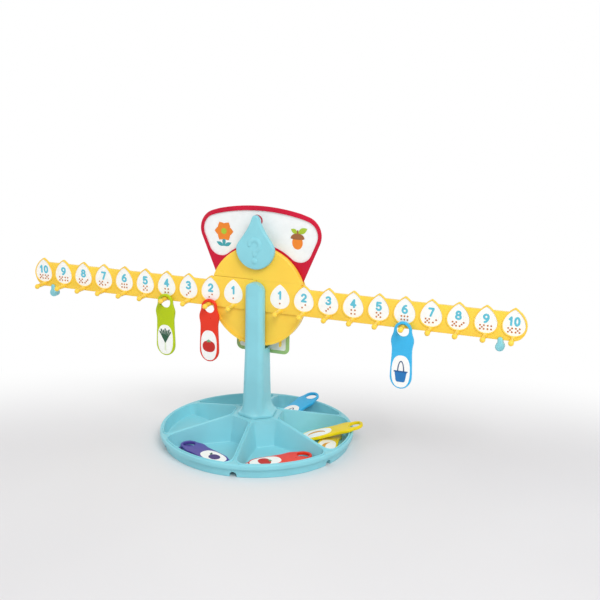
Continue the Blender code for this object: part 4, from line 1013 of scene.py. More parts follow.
def side_line(narrow):
    """A point on the sign's slanting right side, moved inward, and the side's directions."""
    along = Vector((SIGN_LEAN_SHARE, 1)).normalized()
    inward = along.orthogonal()
    return Vector((SIGN_TIP_REACH, SIGN_TIP_HEIGHT)) + inward * narrow, along, inward


def sign_corner(narrow, drop):
    """Where the sign's side and its top edge would meet without rounding."""
    start, along, _ = side_line(narrow)
    height = SIGN_CROWN - drop
    for _ in range(20):
        reach = start.x + along.x / along.y * (height - start.y)
        height = crown_height(reach, drop)
    return reach, height


def sign_top(narrow, drop, corner_round):
    """The top edge from the right corner to the left one."""
    corner = sign_corner(narrow, drop)
    start, along, _ = side_line(narrow)
    near_side = tuple(start + along * SIGN_TIP_HEIGHT)
    first = corner[0] - 1.4 * corner_round
    edge = []
    for step in range(CROWN_STEPS + 1):
        reach = first * (1 - 2 * step / CROWN_STEPS)
        edge.append((reach, crown_height(reach, drop)))
    turn = rounded([near_side, corner, edge[0]], [0, corner_round, 0], 14)[1:-1]
    return turn + edge + opposite(turn)


def sign_outline():
    """The sign's outer edge, with the foot that is held between the covers."""
    foot = HUB_RADIUS - SIGN_FOOT_DEPTH
    spread = math.degrees(math.asin(SIGN_TIP_HEIGHT / HUB_RADIUS))
    tip = [(SIGN_TIP_REACH, SIGN_TIP_HEIGHT)]
    outline = tip + sign_top(0, 0, SIGN_SOFT_CORNER) + opposite(tip)
    return outline + arc((0, 0), foot, 180 - spread, spread, HUB_STEPS // 2)


def window_outline(grow):
    """The sign's window: crowned above, following the hub below, with large lower corners."""
    narrow = SIGN_SIDE_BORDER - grow
    drop = SIGN_TOP_BORDER - grow
    low = HUB_RADIUS + SIGN_LOW_BORDER - grow
    fillet = SIGN_LOW_ROUND + grow
    start, along, inward = side_line(narrow)
    base = start + inward * fillet
    reach = low + fillet
    slide = -base.dot(along) + math.sqrt(base.dot(along) ** 2 - base.dot(base) + reach ** 2)
    centre = base + along * slide
    on_hub = math.degrees(math.atan2(centre.y, centre.x))
    on_side = math.degrees(math.atan2(-inward.y, -inward.x))
    right = arc(centre, fillet, on_hub - 180, on_side, 18)
    low_edge = arc((0, 0), low, 180 - on_hub, on_hub, 40)[1:-1]
    top = sign_top(narrow, drop, SIGN_SOFT_CORNER - drop)
    return low_edge + right + top + opposite(right)


def sign_frame():
    """Border of the sign, open in the middle, with a rebate behind for the panel."""
    made = solid("sign_frame_dressed", [
        slab_rings(sign_outline(), SIGN_FRONT, SIGN_BACK, SIGN_EDGE_ROUND, SIGN_EDGE_ROUND, 3)])
    for grow, front in ((0, SIGN_FRONT - CUT_OVERRUN),
                        (SIGN_REBATE, SIGN_FRONT + SIGN_LIP_THICKNESS)):
        carve(made, [slab_rings(window_outline(grow), front, SIGN_BACK + CUT_OVERRUN)])
    dress(made, "crimson", "beam")
    window = window_outline(SIGN_REBATE - CLEARANCE)
    panel = solid("sign_panel_dressed", [
        slab_rings(window, PANEL_FRONT, PANEL_FRONT + CLEARANCE + PRINT_RISE)])
    dress(panel, "white_sheet", "beam")


def plates(name, outlines, finish, body, front, place=AT_PIVOT):
    """Thin printed shapes that stand a hair proud of a face."""
    bodies = [slab_rings(outline, front - PRINT_RISE - layer * PRINT_STEP, front + PRINT_RISE)
              for layer, outline in enumerate(outlines)]
    dress(solid(name, bodies), finish, body, place)


def leaf_outline(root, tip, half_width, steps=10):
    """A pointed leaf between two points."""
    start, end = Vector(root), Vector(tip)
    along = end - start
    across = along.orthogonal().normalized() * half_width
    right, left = [], []
    for step in range(1, steps):
        share = step / steps
        swell = math.sin(math.pi * share)
        right.append(tuple(start + along * share - across * swell))
        left.append(tuple(start + along * share + across * swell))
    return [tuple(start)] + right + [tuple(end)] + left[::-1]


def leaves(root, *blades):
    """Leaves that spread from one root; each blade is its length, angle and half width."""
    return [leaf_outline(root, around(root, length, degrees), half_width)
            for length, degrees, half_width in blades]


def flower():
    """Six petals round a heart, and two leaves on a stem."""
    petals = leaves(FLOWER_PLACE, *[(PETAL_LENGTH, 360 * index / FLOWER_PETALS, PETAL_HALF_WIDTH)
                                    for index in range(FLOWER_PETALS)])
    plates("sign_flower_petals", petals, "orange_ink", "beam", PANEL_FRONT - PRINT_RISE)
    plates("sign_flower_heart", [full_circle(FLOWER_PLACE, FLOWER_HEART, 24)], "lime_ink", "beam",
           PANEL_FRONT - 3 * PRINT_RISE)
    root = around(FLOWER_PLACE, 1.45 * PETAL_LENGTH, 270)
    foot = leaves(root, *[(0.8 * MOTIF_LEAF, degrees, MOTIF_LEAF / 6) for degrees in (25, 90, 155)])
    plates("sign_flower_leaves", foot, "teal_ink", "beam", PANEL_FRONT)


def acorn():
    """A nut in its cap, with a leaf and a stalk."""
    x, z = ACORN_PLACE
    nut = drop_outline(0, ACORN_HEIGHT, ACORN_HALF_WIDTH, 0.0, PRINT_RISE, 18)
    nut = [(x - across, z + ACORN_CAP_HEIGHT / 2 - height) for across, height in nut]
    plates("sign_acorn_nut", [nut], "orange_ink", "beam", PANEL_FRONT)
    cap = oval((x, z), ACORN_CAP_HALF_WIDTH, ACORN_CAP_HEIGHT, 0, 180, 20)
    cap += oval((x, z), ACORN_CAP_HALF_WIDTH, ACORN_CAP_HEIGHT / 5, 180, 360, 12)[1:-1]
    stalk = box_outline(x - MARK_LINE / 2, x + MARK_LINE / 2, z, z + 1.6 * ACORN_CAP_HEIGHT)
    stalk = rounded(stalk, [MARK_LINE / 3] * 4, 3)
    plates("sign_acorn_cap", [cap, stalk], "brown_ink", "beam", PANEL_FRONT - 2 * PRINT_RISE)
    crown = leaves((x, z + ACORN_CAP_HEIGHT), (MOTIF_LEAF, 28, MOTIF_LEAF / 4),
                   (0.7 * MOTIF_LEAF, 150, MOTIF_LEAF / 5))
    plates("sign_acorn_leaves", crown, "lime_ink", "beam", PANEL_FRONT - PRINT_RISE)


def sign_print():
    """Ring mark for the pointer, with a flower on its left and an acorn on its right."""
    mark = stroke_rings(full_circle((MARK_REACH, MARK_HEIGHT), MARK_RADIUS, 48), MARK_LINE / 2,
                        PANEL_FRONT - PRINT_RISE, PANEL_FRONT + PRINT_RISE, True)
    dress(solid("sign_ring_mark", [], [mark]), "crimson_ink", "beam")
    flower()
    acorn()


def question_card():
    """Pale card with a green border on both faces."""
    half = CARD_WIDTH / 2
    outline = rounded(box_outline(-half, half, -CARD_BOTTOM, CARD_TOP), [CARD_CORNER_ROUND] * 4, 12)
    made = solid("question_card_dressed", [slab_rings(
        outline, CARD_FRONT + PRINT_RISE, CARD_BACK - PRINT_RISE, PRINT_RISE, PRINT_RISE, 2)])
    dress(made, "card_edge", "card")
    face = inset(outline, CARD_BORDER)
    bodies = [slab_rings(face, CARD_FRONT, CARD_FRONT + 2 * PRINT_RISE),
              slab_rings(face, CARD_BACK - 2 * PRINT_RISE, CARD_BACK)]
    dress(solid("question_card_faces", bodies), "card_face", "card")


# Riders, pointer, axle and screws

def rider_outline():
    """A drop that narrows upward into a round-topped tongue."""
    blob = (0, -RIDER_DROP)
    width = RIDER_TONGUE_HALF_WIDTH
    tongue = (0, -RIDER_TONGUE_TOP - RIDER_LOWER - width)
    pull = (RIDER_DROP + tongue[1]) / 3
    flank = bend(around(blob, RIDER_RADIUS, RIDER_FLANK_LEAN),
                 around((0, 0), pull, RIDER_FLANK_LEAN + 90), (width, tongue[1]), (0, -pull), 10)
    half = arc(blob, RIDER_RADIUS, -90, RIDER_FLANK_LEAN, 24)[1:-1] + flank[:-1]
    half += arc(tongue, width, 0, 90, 8)[:-1]
    return [(0, -RIDER_DROP - RIDER_RADIUS)] + half + [(0, tongue[1] + width)] + opposite(half)


def riders():
    """Drop-shaped clips under the arms' ends."""
    front = ARM_FRONT - CLEARANCE - RIDER_WALL
    back = ARM_BACK + CLEARANCE + RIDER_WALL
    width = RIDER_RADIUS + CUT_OVERRUN
    mouth = box_outline(-width, width, -ARM_BOTTOM - CLEARANCE, CUT_OVERRUN)
    for name, side in (("left_rider", -1), ("right_rider", 1)):
        made = solid(name + "_dressed", [
            slab_rings(rider_outline(), front, back, RIDER_EDGE_ROUND, RIDER_EDGE_ROUND, 4)])
        carve(made, [slab_rings(mouth, ARM_FRONT - CLEARANCE, ARM_BACK + CLEARANCE)])
        dress(made, "turquoise", name,
              Matrix.Translation((side * RIDER_PLACE, 0, PIVOT_HEIGHT)))


def pointer_outline():
    """Round foot, hollow flanks and a small round tip."""
    centre = (0, POINTER_BOTTOM + POINTER_HALF_WIDTH)
    side = (POINTER_HALF_WIDTH, centre[1])
    tip = arc((0, POINTER_TOP - POINTER_TIP_RADIUS), POINTER_TIP_RADIUS, POINTER_NECK_LEAN, 90, 6)
    neck_pull = around((0, 0), POINTER_NECK_REACH, POINTER_NECK_LEAN - 90)
    steps = POINTER_STEPS // 2
    flank = bend(side, (0, POINTER_FLANK_REACH), tip[0], neck_pull, steps)
    half = arc(centre, POINTER_HALF_WIDTH, -90, 0, steps)[1:-1] + flank[:-1] + tip[:-1]
    return [(0, POINTER_BOTTOM)] + half + [(0, POINTER_TOP)] + opposite(half)


def question_mark():
    """Domed strokes of a question mark on the pointer's face."""
    face = POINTER_FRONT
    half = QUESTION_STROKE / 2
    radius = QUESTION_HALF_WIDTH - half
    hook = arc((0, QUESTION_TOP - half - radius), radius, HOOK_START, HOOK_END, 26)
    neck = (0, QUESTION_BOTTOM + 2 * QUESTION_DOT_RADIUS + 1.5 * half)
    hook += bend(hook[-1], around((0, 0), half, HOOK_END + 270),
                 (neck[0], neck[1] + half / 2), (0, half / 2), 6)[1:]
    hook.append(neck)
    dome = [(QUESTION_DOT_RADIUS, face + CLEARANCE)]
    for degrees in (10, 30, 50, 70, 86):
        angle = math.radians(degrees)
        dome.append((QUESTION_DOT_RADIUS * math.cos(angle), face - QUESTION_RISE * math.sin(angle)))
    bodies = [stroke_rings(hook, half, face - QUESTION_RISE, face + CLEARANCE, domed=True),
              turned_rings(dome, 28, (0, QUESTION_BOTTOM + QUESTION_DOT_RADIUS))]
    dress(solid("pointer_question_mark", bodies), "turquoise", "stand")


def pointer():
    """Drop-shaped pointer with its stem."""
    rings = slab_rings(pointer_outline(), POINTER_FRONT, POINTER_BACK, POINTER_EDGE_ROUND,
                       CLEARANCE, 6)
    end = FORK_HALF_GAP + STEM_SOCKET_DEPTH
    stem = turned_rings([(STEM_RADIUS, POINTER_BACK - WELD_DEPTH), (STEM_RADIUS, end - WELD_DEPTH),
                         (STEM_RADIUS - WELD_DEPTH, end)], CIRCLE_STEPS, (0, STEM_HEIGHT))
    dress(solid("pointer_dressed", [rings, stem]), "turquoise", "stand")
    question_mark()


def screw(name, body, tip, face, centre, axis, place):
    """A screw from its tip to its face, with a cross recess in its round-edged head."""
    way = 1 if face > tip else -1
    under_head = face - way * SCREW_HEAD_THICKNESS
    profile = [(SCREW_RADIUS, tip), (SCREW_RADIUS, under_head), (SCREW_HEAD_RADIUS, under_head)]
    profile += [(SCREW_HEAD_RADIUS - narrower, face - way * lower)
                for narrower, lower in SCREW_HEAD_EDGE]
    made = solid(name + "_dressed", [turned_rings(profile[::way], 32, centre, axis)])
    ring = at_depth if axis == "Y" else at_level
    ends = sorted((face - way * CROSS_DEPTH, face + way * CUT_OVERRUN))
    for half_width, half_height in ((CROSS_REACH, CROSS_HALF_WIDTH),
                                    (CROSS_HALF_WIDTH, CROSS_REACH)):
        bar = [(centre[0] + x, centre[1] + z)
               for x, z in box_outline(-half_width, half_width, -half_height, half_height)]
        carve(made, [[ring(bar, end) for end in ends]])
    dress(made, "zinc", body, place)


def post_screw_places():
    return [around((0, 0), POST_SCREW_CIRCLE, 90 + 360 * index / POST_SCREWS)
            for index in range(POST_SCREWS)]


def screws():
    """Hub screws from behind and post screws from below."""
    for place, side in (("left", -1), ("right", 1)):
        for level, rise in (("low", -HUB_SCREW_RISE), ("high", HUB_SCREW_RISE)):
            screw("hub_screw_" + place + "_" + level, "beam", COVER_SPLIT, HUB_HALF_THICKNESS,
                  (side * HUB_SCREW_REACH, rise), "Y", AT_PIVOT)
    low = HUB_TOP - HUB_PLATE - CLEARANCE - SCREW_HEAD_THICKNESS
    for index, centre in enumerate(post_screw_places()):
        screw("post_screw_" + str(index + 1), "stand", HUB_TOP + WELD_DEPTH, low, centre, "Z",
              Matrix())


def axle():
    """Headed pin through the rear leg and the hub into the front leg."""
    head_back = POST_BACK - CLEARANCE
    head_front = head_back - AXLE_HEAD_THICKNESS
    tip = -FORK_HALF_GAP - AXLE_TIP_DEPTH
    profile = [(AXLE_RADIUS - WELD_DEPTH, tip), (AXLE_RADIUS, tip + WELD_DEPTH),
               (AXLE_RADIUS, head_front), (AXLE_HEAD_RADIUS, head_front),
               (AXLE_HEAD_RADIUS, head_back - WELD_DEPTH)]
    for step in range(1, 5):
        angle = math.pi / 2 * step / 4
        profile.append((AXLE_HEAD_RADIUS - WELD_DEPTH * (1 - math.cos(angle)),
                        head_back - WELD_DEPTH * (1 - math.sin(angle))))
    dress(solid("axle_dressed", [turned_rings(profile)]), "turquoise", "stand")


# Post

def reach_in(outline, angle):
    """Distance from the axis to a convex outline in one direction."""
    ray = Vector((math.cos(angle), math.sin(angle)))
    best = 0
    for index, end in enumerate(outline):
        start = Vector(outline[index - 1])
        edge = Vector(end) - start
        cross = ray.x * edge.y - ray.y * edge.x
        if abs(cross) < 1e-12:
            continue
        share = (ray.x * -start.y + ray.y * start.x) / cross
        reach = (start.x * edge.y - start.y * edge.x) / cross
        if reach > 0 and -1e-9 <= share <= 1 + 1e-9:
            best = max(best, reach)
    return best


def post_section(height):
    """Rounded rectangle of the column at a height above the table."""
    shoulder = PIVOT_HEIGHT - SHOULDER_DROP
    if height > shoulder:
        share = min((height - shoulder) / (SHOULDER_DROP + FRONT_LEG_TOP), 1)
        end_half_width = POST_TOP_HALF_WIDTH
        flare = 0
    else:
        share = (shoulder - height) / (shoulder - HUB_TOP)
        end_half_width = POST_BASE_HALF_WIDTH
        flare = POST_BASE_FLARE * share
    half = POST_SHOULDER_HALF_WIDTH + (end_half_width - POST_SHOULDER_HALF_WIDTH) * share
    return rounded(box_outline(-half, half, -POST_FRONT - flare, POST_BACK + flare),
                   [POST_SOFT_ROUND] * 4)


def post_rings():
    """Level rings of the post, from its hexagonal flange up to the top of the rear leg."""
    corners = [around((0, 0), FLANGE_SOFT_RADIUS, FIRST_DIVIDER_ANGLE + SECTOR * index)
               for index in range(POCKETS)]
    hexagon = rounded(corners, [FLANGE_CORNER_ROUND] * POCKETS)
    levels = [(HUB_TOP + up * FLANGE_THICKNESS, share) for up, share in FLANGE_LEVELS]
    for step in range(1, FLARE_STEPS + 1):
        up = (step / FLARE_STEPS) ** FLARE_SPREAD
        levels.append((HUB_TOP + FLANGE_THICKNESS + FLARE_HEIGHT * up,
                       FLARE_START * math.exp(-FLARE_FALL * up) * (1 - up) ** FLARE_FADE))
    top = PIVOT_HEIGHT + STEM_HEIGHT + REAR_LEG_CAP + CUT_OVERRUN
    levels += [(PIVOT_HEIGHT - SHOULDER_DROP, 0.0), (PIVOT_HEIGHT + FRONT_LEG_TOP, 0.0), (top, 0.0)]
    rings = []
    for height, flange_share in levels:
        column = post_section(height)
        ring = []
        for step in range(POST_STEPS):
            angle = 2 * math.pi * step / POST_STEPS
            reach = reach_in(column, angle)
            if flange_share:
                reach += (reach_in(hexagon, angle) - reach) * flange_share
            ring.append(Vector((reach * math.cos(angle), reach * math.sin(angle), height)))
        rings.append(ring)
    return rings


def above_arch(half_width, spring, top, reach):
    """Outline of what is cut away above a round-topped leg, in the XZ plane."""
    arch = arc((0, spring), half_width, 0, 180, 40)
    return arch + [(-reach, spring), (-reach, top), (reach, top), (reach, spring)]


def post():
    """Column with a hexagonal flange; above the shoulder it forks round the hub."""
    made = solid("post_dressed", [post_rings()])
    reach = POST_BASE_HALF_WIDTH + 2 * CUT_OVERRUN
    top = PIVOT_HEIGHT + STEM_HEIGHT + REAR_LEG_CAP + 2 * CUT_OVERRUN
    hollow = arc((0, PIVOT_HEIGHT), SHOULDER_DROP, -90 - FORK_HOLLOW_SPREAD,
                 -90 + FORK_HOLLOW_SPREAD, 24)
    carve(made, [slab_rings(hollow + [(reach, top), (-reach, top)], -FORK_HALF_GAP, FORK_HALF_GAP)])
    half = POST_TOP_HALF_WIDTH + CLEARANCE
    far = POST_BACK + POST_BASE_FLARE + CUT_OVERRUN
    for leg_top, front, back in (
            (FRONT_LEG_TOP, -far - CUT_OVERRUN, -FORK_HALF_GAP + WELD_DEPTH),
            (STEM_HEIGHT + REAR_LEG_CAP, FORK_HALF_GAP - WELD_DEPTH, far)):
        arch = above_arch(half, PIVOT_HEIGHT + leg_top - half, top, reach)
        carve(made, [slab_rings(arch, front, back)])
    hole = AXLE_RADIUS + CLEARANCE
    sink = AXLE_HEAD_RADIUS + CLEARANCE
    seat = POST_BACK - AXLE_HEAD_THICKNESS - 2 * CLEARANCE
    tip = -FORK_HALF_GAP - AXLE_TIP_DEPTH - CLEARANCE
    carve(made, [turned_rings([(hole, tip), (hole, seat), (sink, seat), (sink, far)], 48,
                              (0, PIVOT_HEIGHT))])
    carve(made, [cylinder(STEM_RADIUS + CLEARANCE, 0, FORK_HALF_GAP + STEM_SOCKET_DEPTH + CLEARANCE,
                          32, (0, PIVOT_HEIGHT + STEM_HEIGHT))])
    soften(made, LEG_EDGE_ROUND)
    dress(made, "turquoise", "stand", Matrix())


# Tray

def ridge_height(reach):
    """Height of the divider tops, which fall from the hub to the rim."""
    share = (reach - HUB_CORNER_RADIUS) / (RIM_INNER - HUB_CORNER_RADIUS)
    return HUB_TOP + (TRAY_RIM_HEIGHT - HUB_TOP) * min(max(share, 0), 1)


def blended(first, second, radius):
    """The nearer of two walls, with a fillet of the given radius where they meet."""
    if first < radius and second < radius:
        return radius - math.hypot(radius - first, radius - second)
    return min(first, second)


def into_pocket(point):
    """How far a point lies inside a pocket's upper edge; the pocket's middle line is +X."""
    half = math.radians(SECTOR / 2)
    side = point.x * math.sin(half) - abs(point.y) * math.cos(half) - DIVIDER_HALF_WIDTH
    outer = blended(side, RIM_INNER - point.length, POCKET_OUTER_ROUND)
    return blended(outer, point.x - HUB_APOTHEM, POCKET_INNER_ROUND)


def sector_border():
    """Points round one sector: rim, divider middle, hub and the other divider's middle."""
    half = math.radians(SECTOR / 2)
    outer = TRAY_RADIUS - TRAY_RIM_ROUND
    corner = Vector((math.cos(half), math.sin(half)))
    inner = HUB_TOP_INSET / math.cos(half)
    divider = [corner * (outer + (inner - outer) * step / BORDER_STEPS)
               for step in range(1, BORDER_STEPS)]
    points = [Vector(point) for point in arc((0, 0), outer, -SECTOR / 2, SECTOR / 2, RIM_STEPS)]
    points += divider
    for step in range(9):
        points.append(Vector((HUB_TOP_INSET, inner * math.sin(half) * (1 - step / 4))))
    return points + [Vector((point.x, -point.y)) for point in divider[::-1]]


def meet(border, wanted):
    """The point between a border point and the pocket's middle where wanted turns positive."""
    middle = Vector((POCKET_MIDDLE, 0))
    low, high = 0.0, 1.0
    for _ in range(26):
        share = (low + high) / 2
        if wanted(border.lerp(middle, share)) > 0:
            high = share
        else:
            low = share
    return border.lerp(middle, high)


def pocket_rows():
    """Rows of points from a sector's border down to its pocket's floor."""
    borders = sector_border()
    rows = [[Vector((p.x, p.y, ridge_height(p.length))) for p in borders]]
    low = TRAY_FLOOR + POCKET_FLOOR_ROUND

    def edge(point):
        return ridge_height(point.length) - DIVIDER_ROUND

    def wall(point, height):
        return WALL_DRAFT_SHARE * (edge(point) - height)

    def add_row(wanted, height):
        points = [meet(border, wanted) for border in borders]
        rows.append([Vector((p.x, p.y, height(p))) for p in points])

    for step in range(6):
        outside = DIVIDER_ROUND * math.cos(math.pi / 2 * step / 5) if step < 5 else 0.0
        fall = DIVIDER_ROUND * (1 - math.sin(math.acos(min(1.0, outside / DIVIDER_ROUND))))
        add_row(lambda p: into_pocket(p) + outside, lambda p: ridge_height(p.length) - fall)
    for share in (0.33, 0.66, 1.0):
        def slope(point):
            return edge(point) + (low - edge(point)) * share
        add_row(lambda p: into_pocket(p) - wall(p, slope(p)), slope)
    for degrees in (22, 45, 67, 90):
        angle = math.radians(degrees)
        shrink = POCKET_FLOOR_ROUND * (1 - math.cos(angle))
        height = TRAY_FLOOR + POCKET_FLOOR_ROUND * (1 - math.sin(angle))
        add_row(lambda p: into_pocket(p) - wall(p, low) - shrink, lambda p: height)
    return rows


def tray_shell():
    """The tray's outside as one closed mesh: pockets above, lip, outer wall and a plain base."""
    shape = bmesh.new()
    rows = pocket_rows()
    for index in range(POCKETS):
        turn = Matrix.Rotation(math.radians(FIRST_DIVIDER_ANGLE + SECTOR * (index + 0.5)), 3, "Z")
        placed = [[shape.verts.new(turn @ point) for point in row] for row in rows]
        add_bands(shape, placed)
        shape.faces.new(placed[-1])
    lip_low = TRAY_RIM_HEIGHT - TRAY_LIP_HEIGHT
    foot = TRAY_OUTER_WALL - TRAY_FOOT_INSET + TRAY_LIP_OVERHANG
    crown = TRAY_RIM_HEIGHT - TRAY_RIM_ROUND
    flat = TRAY_RADIUS - TRAY_RIM_ROUND
    profile = [(foot - TRAY_FOOT_WIDTH, TRAY_FOOT_RISE), (foot - TRAY_FOOT_WIDTH, 0.0),
               (foot - TRAY_EDGE_EASE, 0.0), (foot, TRAY_EDGE_EASE),
               (TRAY_OUTER_WALL, lip_low - TRAY_RIM_ROUND),
               (TRAY_OUTER_WALL + TRAY_EDGE_EASE, lip_low - TRAY_LIP_EASE),
               (flat - TRAY_LIP_EASE, lip_low),
               (TRAY_RADIUS - TRAY_EDGE_EASE, lip_low + TRAY_LIP_EASE),
               (TRAY_RADIUS, lip_low + TRAY_RIM_ROUND)]
    for step in range(6):
        angle = math.pi / 2 * step / 5
        profile.append((flat + TRAY_RIM_ROUND * math.cos(angle),
                        crown + TRAY_RIM_ROUND * math.sin(angle)))
    start = FIRST_DIVIDER_ANGLE
    rings = [[shape.verts.new(point) for point in at_level(
        arc((0, 0), radius, start, start + 360.0, RIM_STEPS * POCKETS)[:-1], height)]
        for radius, height in profile]
    add_bands(shape, rings)
    shape.faces.new(rings[0][::-1])
    bmesh.ops.remove_doubles(shape, verts=shape.verts, dist=0.000004)
    bmesh.ops.holes_fill(shape, edges=shape.edges, sides=0)
    bmesh.ops.recalc_face_normals(shape, faces=shape.faces)
    return finished("tray_dressed", shape)


def arch_rings(index):
    """Arched channel under one divider, open at the tray's outer wall."""
    side = arc((0, ARCH_HEIGHT - ARCH_HALF_WIDTH), ARCH_HALF_WIDTH, 0, 180, 20)
    outline = side + [(-ARCH_HALF_WIDTH, -CUT_OVERRUN), (ARCH_HALF_WIDTH, -CUT_OVERRUN)]
    turn = Matrix.Rotation(math.radians(FIRST_DIVIDER_ANGLE + SECTOR * index - 90), 3, "Z")
    return [[turn @ point for point in at_depth(outline, reach)]
            for reach in (HUB_APOTHEM - 2 * HUB_WALL, TRAY_RADIUS + CUT_OVERRUN)]


def tray():
    """Round tray with six pockets, a hollow hub and arched channels below."""
    made = tray_shell()
    low = HUB_APOTHEM - HUB_WALL
    ceiling = HUB_TOP - HUB_PLATE
    cavity = [(low, -CUT_OVERRUN), (low - WALL_DRAFT_SHARE * ceiling, ceiling)]
    carve(made, [turned_rings(cavity, 96, (0, 0), "Z")])
    carve(made, [arch_rings(index) for index in range(POCKETS)])
    carve(made, [cylinder(SCREW_RADIUS + CLEARANCE, ceiling - CUT_OVERRUN, HUB_TOP + CUT_OVERRUN,
                          24, centre, "Z") for centre in post_screw_places()])
    dress(made, "turquoise", "stand", Matrix())


# Tokens

def eased_widths(stations, steps):
    """Widths that swing from station to station; each is a share of the way and a width."""
    widths = []
    for (start, narrow), (end, wide) in zip(stations, stations[1:]):
        for step in range(steps):
            ease = (1 - math.cos(math.pi * step / steps)) / 2
            widths.append((start + (end - start) * step / steps, narrow + (wide - narrow) * ease))
    return widths


def token_outline():
    """Round ring, shoulders, a slim waist and a round foot."""
    stations = [(0, RING_HALF_WIDTH), (SHOULDER_SHARE, SHOULDER_HALF_WIDTH),
                (WAIST_SHARE, WAIST_HALF_WIDTH), (1, FOOT_HALF_WIDTH)]
    down = FOOT_CENTRE - RING_CENTRE
    left = [(-width, RING_CENTRE + down * share) for share, width in eased_widths(stations, 9)[1:]]
    foot = oval((0, FOOT_CENTRE), FOOT_HALF_WIDTH, FOOT_ROUND_HEIGHT, 180, 360, 32)
    return arc((0, RING_CENTRE), RING_HALF_WIDTH, 0, 180, 28) + left + foot + opposite(left)


def token_mesh():
    """Round-edged token with a hole whose edges are eased."""
    made = solid("token_pattern", [slab_rings(
        token_outline(), -TOKEN_THICKNESS, 0, TOKEN_EDGE_ROUND, TOKEN_EDGE_ROUND, 4)])
    ease = TOKEN_EDGE_ROUND / 2
    profile = [(RING_HOLE_RADIUS + ease, -TOKEN_THICKNESS - CUT_OVERRUN)]
    for face, way in ((-TOKEN_THICKNESS, 1), (0, -1)):
        bevel = [(RING_HOLE_RADIUS + ease, face),
                 (RING_HOLE_RADIUS + ease / 3, face + way * ease / 2),
                 (RING_HOLE_RADIUS, face + way * 1.5 * ease)]
        profile += bevel[::way]
    profile.append((RING_HOLE_RADIUS + ease, CUT_OVERRUN))
    carve(made, [turned_rings(profile, 40, (0, RING_CENTRE))])
    mesh = made.data
    bpy.data.objects.remove(made)
    return mesh


def blade_outline(root, tip, half_width):
    """A leaf that widens towards its blunt end."""
    start = Vector(root)
    end = Vector(tip)
    along = (end - start).normalized() * half_width
    across = along.orthogonal()
    return [tuple(point) for point in (start - across / 2, end - across, end - across / 2 + along,
                                       end + across / 2 + along, end + across, start + across / 2)]


def leek():
    """Fan of dark, blunt leaves on a thin pale stem."""
    root = (0, OVAL_MIDDLE - 0.10 * OVAL_HEIGHT)
    fan = []
    for index in range(7):
        lean = 28 * (index - 3) / 3
        reach = OVAL_HEIGHT * (0.46 if index % 2 else 0.41)
        fan.append(blade_outline(root, around(root, reach, 90 - lean), OVAL_WIDTH / 24))
    stem = box_outline(-OVAL_WIDTH / 18, OVAL_WIDTH / 18, OVAL_MIDDLE - 0.38 * OVAL_HEIGHT,
                       root[1] + OVAL_WIDTH / 12)
    stem = rounded(stem, [OVAL_WIDTH / 24] * 4, 4)
    return [([stem], "pale_green_ink"), (fan, "dark_green_ink")]


def tomato():
    """A flattened ball with a small star of leaves."""
    centre = (0, OVAL_MIDDLE - 0.035 * OVAL_HEIGHT)
    body = super_oval(centre, 0.40 * OVAL_WIDTH, 0.19 * OVAL_HEIGHT, 2.3, 36)
    star = leaves((0, centre[1] + 0.165 * OVAL_HEIGHT),
                  *[(OVAL_WIDTH / 7, degrees, OVAL_WIDTH / 34)
                    for degrees in (-15, 40, 90, 140, 195)])
    return [([body], "tomato_ink"), (star, "leaf_ink")]


def basket():
    """A deep bowl with a rim and a tall, narrow handle."""
    rim_top = OVAL_MIDDLE + 0.02 * OVAL_HEIGHT
    rim_low = rim_top - 0.045 * OVAL_HEIGHT
    low = OVAL_MIDDLE - 0.33 * OVAL_HEIGHT
    top = 0.34 * OVAL_WIDTH
    foot = 0.24 * OVAL_WIDTH
    body = rounded([(-foot, low), (foot, low), (top, rim_top), (-top, rim_top)],
                   [foot / 2, foot / 2, 0, 0], 6)
    edge = rounded(box_outline(-1.12 * top, 1.12 * top, rim_low, rim_top),
                   [(rim_top - rim_low) / 2.2] * 4, 4)
    handle = oval((0, rim_low), 0.20 * OVAL_WIDTH, 0.36 * OVAL_HEIGHT, 0, 180, 28)
    handle += oval((0, rim_low), 0.13 * OVAL_WIDTH, 0.32 * OVAL_HEIGHT, 180, 0, 28)
    return [([handle], "slate_ink"), ([body], "dark_blue_ink"), ([edge], "deep_blue_ink")]


def crescent():
    """A curved fruit."""
    tip = around((0, OVAL_MIDDLE), 0.30 * OVAL_HEIGHT, 76)
    foot = around((0, OVAL_MIDDLE), 0.30 * OVAL_HEIGHT, -76)
    belly = 0.52 * OVAL_WIDTH
    outer = bend(tip, (-belly, 0), foot, (-belly, 0), 20)
    inner = bend(foot, (-belly / 2, belly / 3), tip, (-belly / 2, -belly / 3), 20)
    return [([outer + inner[1:-1]], "ochre_ink")]


def plum():
    """An upright fruit with one leaf."""
    body = super_oval((0, OVAL_MIDDLE - 0.05 * OVAL_HEIGHT), 0.29 * OVAL_WIDTH,
                      0.20 * OVAL_HEIGHT, 2.1, 36)
    leaf = leaves((0, OVAL_MIDDLE + 0.14 * OVAL_HEIGHT), (0.30 * OVAL_WIDTH, 40, OVAL_WIDTH / 14))
    return [([body], "dark_purple_ink"), (leaf, "dark_green_ink")]


def hanging_place(number):
    """On a peg: negative numbers are on the left arm."""
    return Matrix.Translation((number * PEG_PITCH, -TOKEN_BACK, PIVOT_HEIGHT - PEG_DROP))


def lying_place(foot, heading, slope):
    """Face up, its foot end's underside at a point, its ring end towards the heading."""
    turn = math.radians(heading)
    rise = math.radians(slope)
    along = Vector((math.cos(turn) * math.cos(rise), math.sin(turn) * math.cos(rise),
                    math.sin(rise)))
    up = Vector((-math.cos(turn) * math.sin(rise), -math.sin(turn) * math.sin(rise),
                 math.cos(rise)))
    place = Matrix(((-up).cross(along), -up, along)).transposed().to_4x4()
    place.translation = Vector(foot) + along * TOKEN_FOOT
    return place


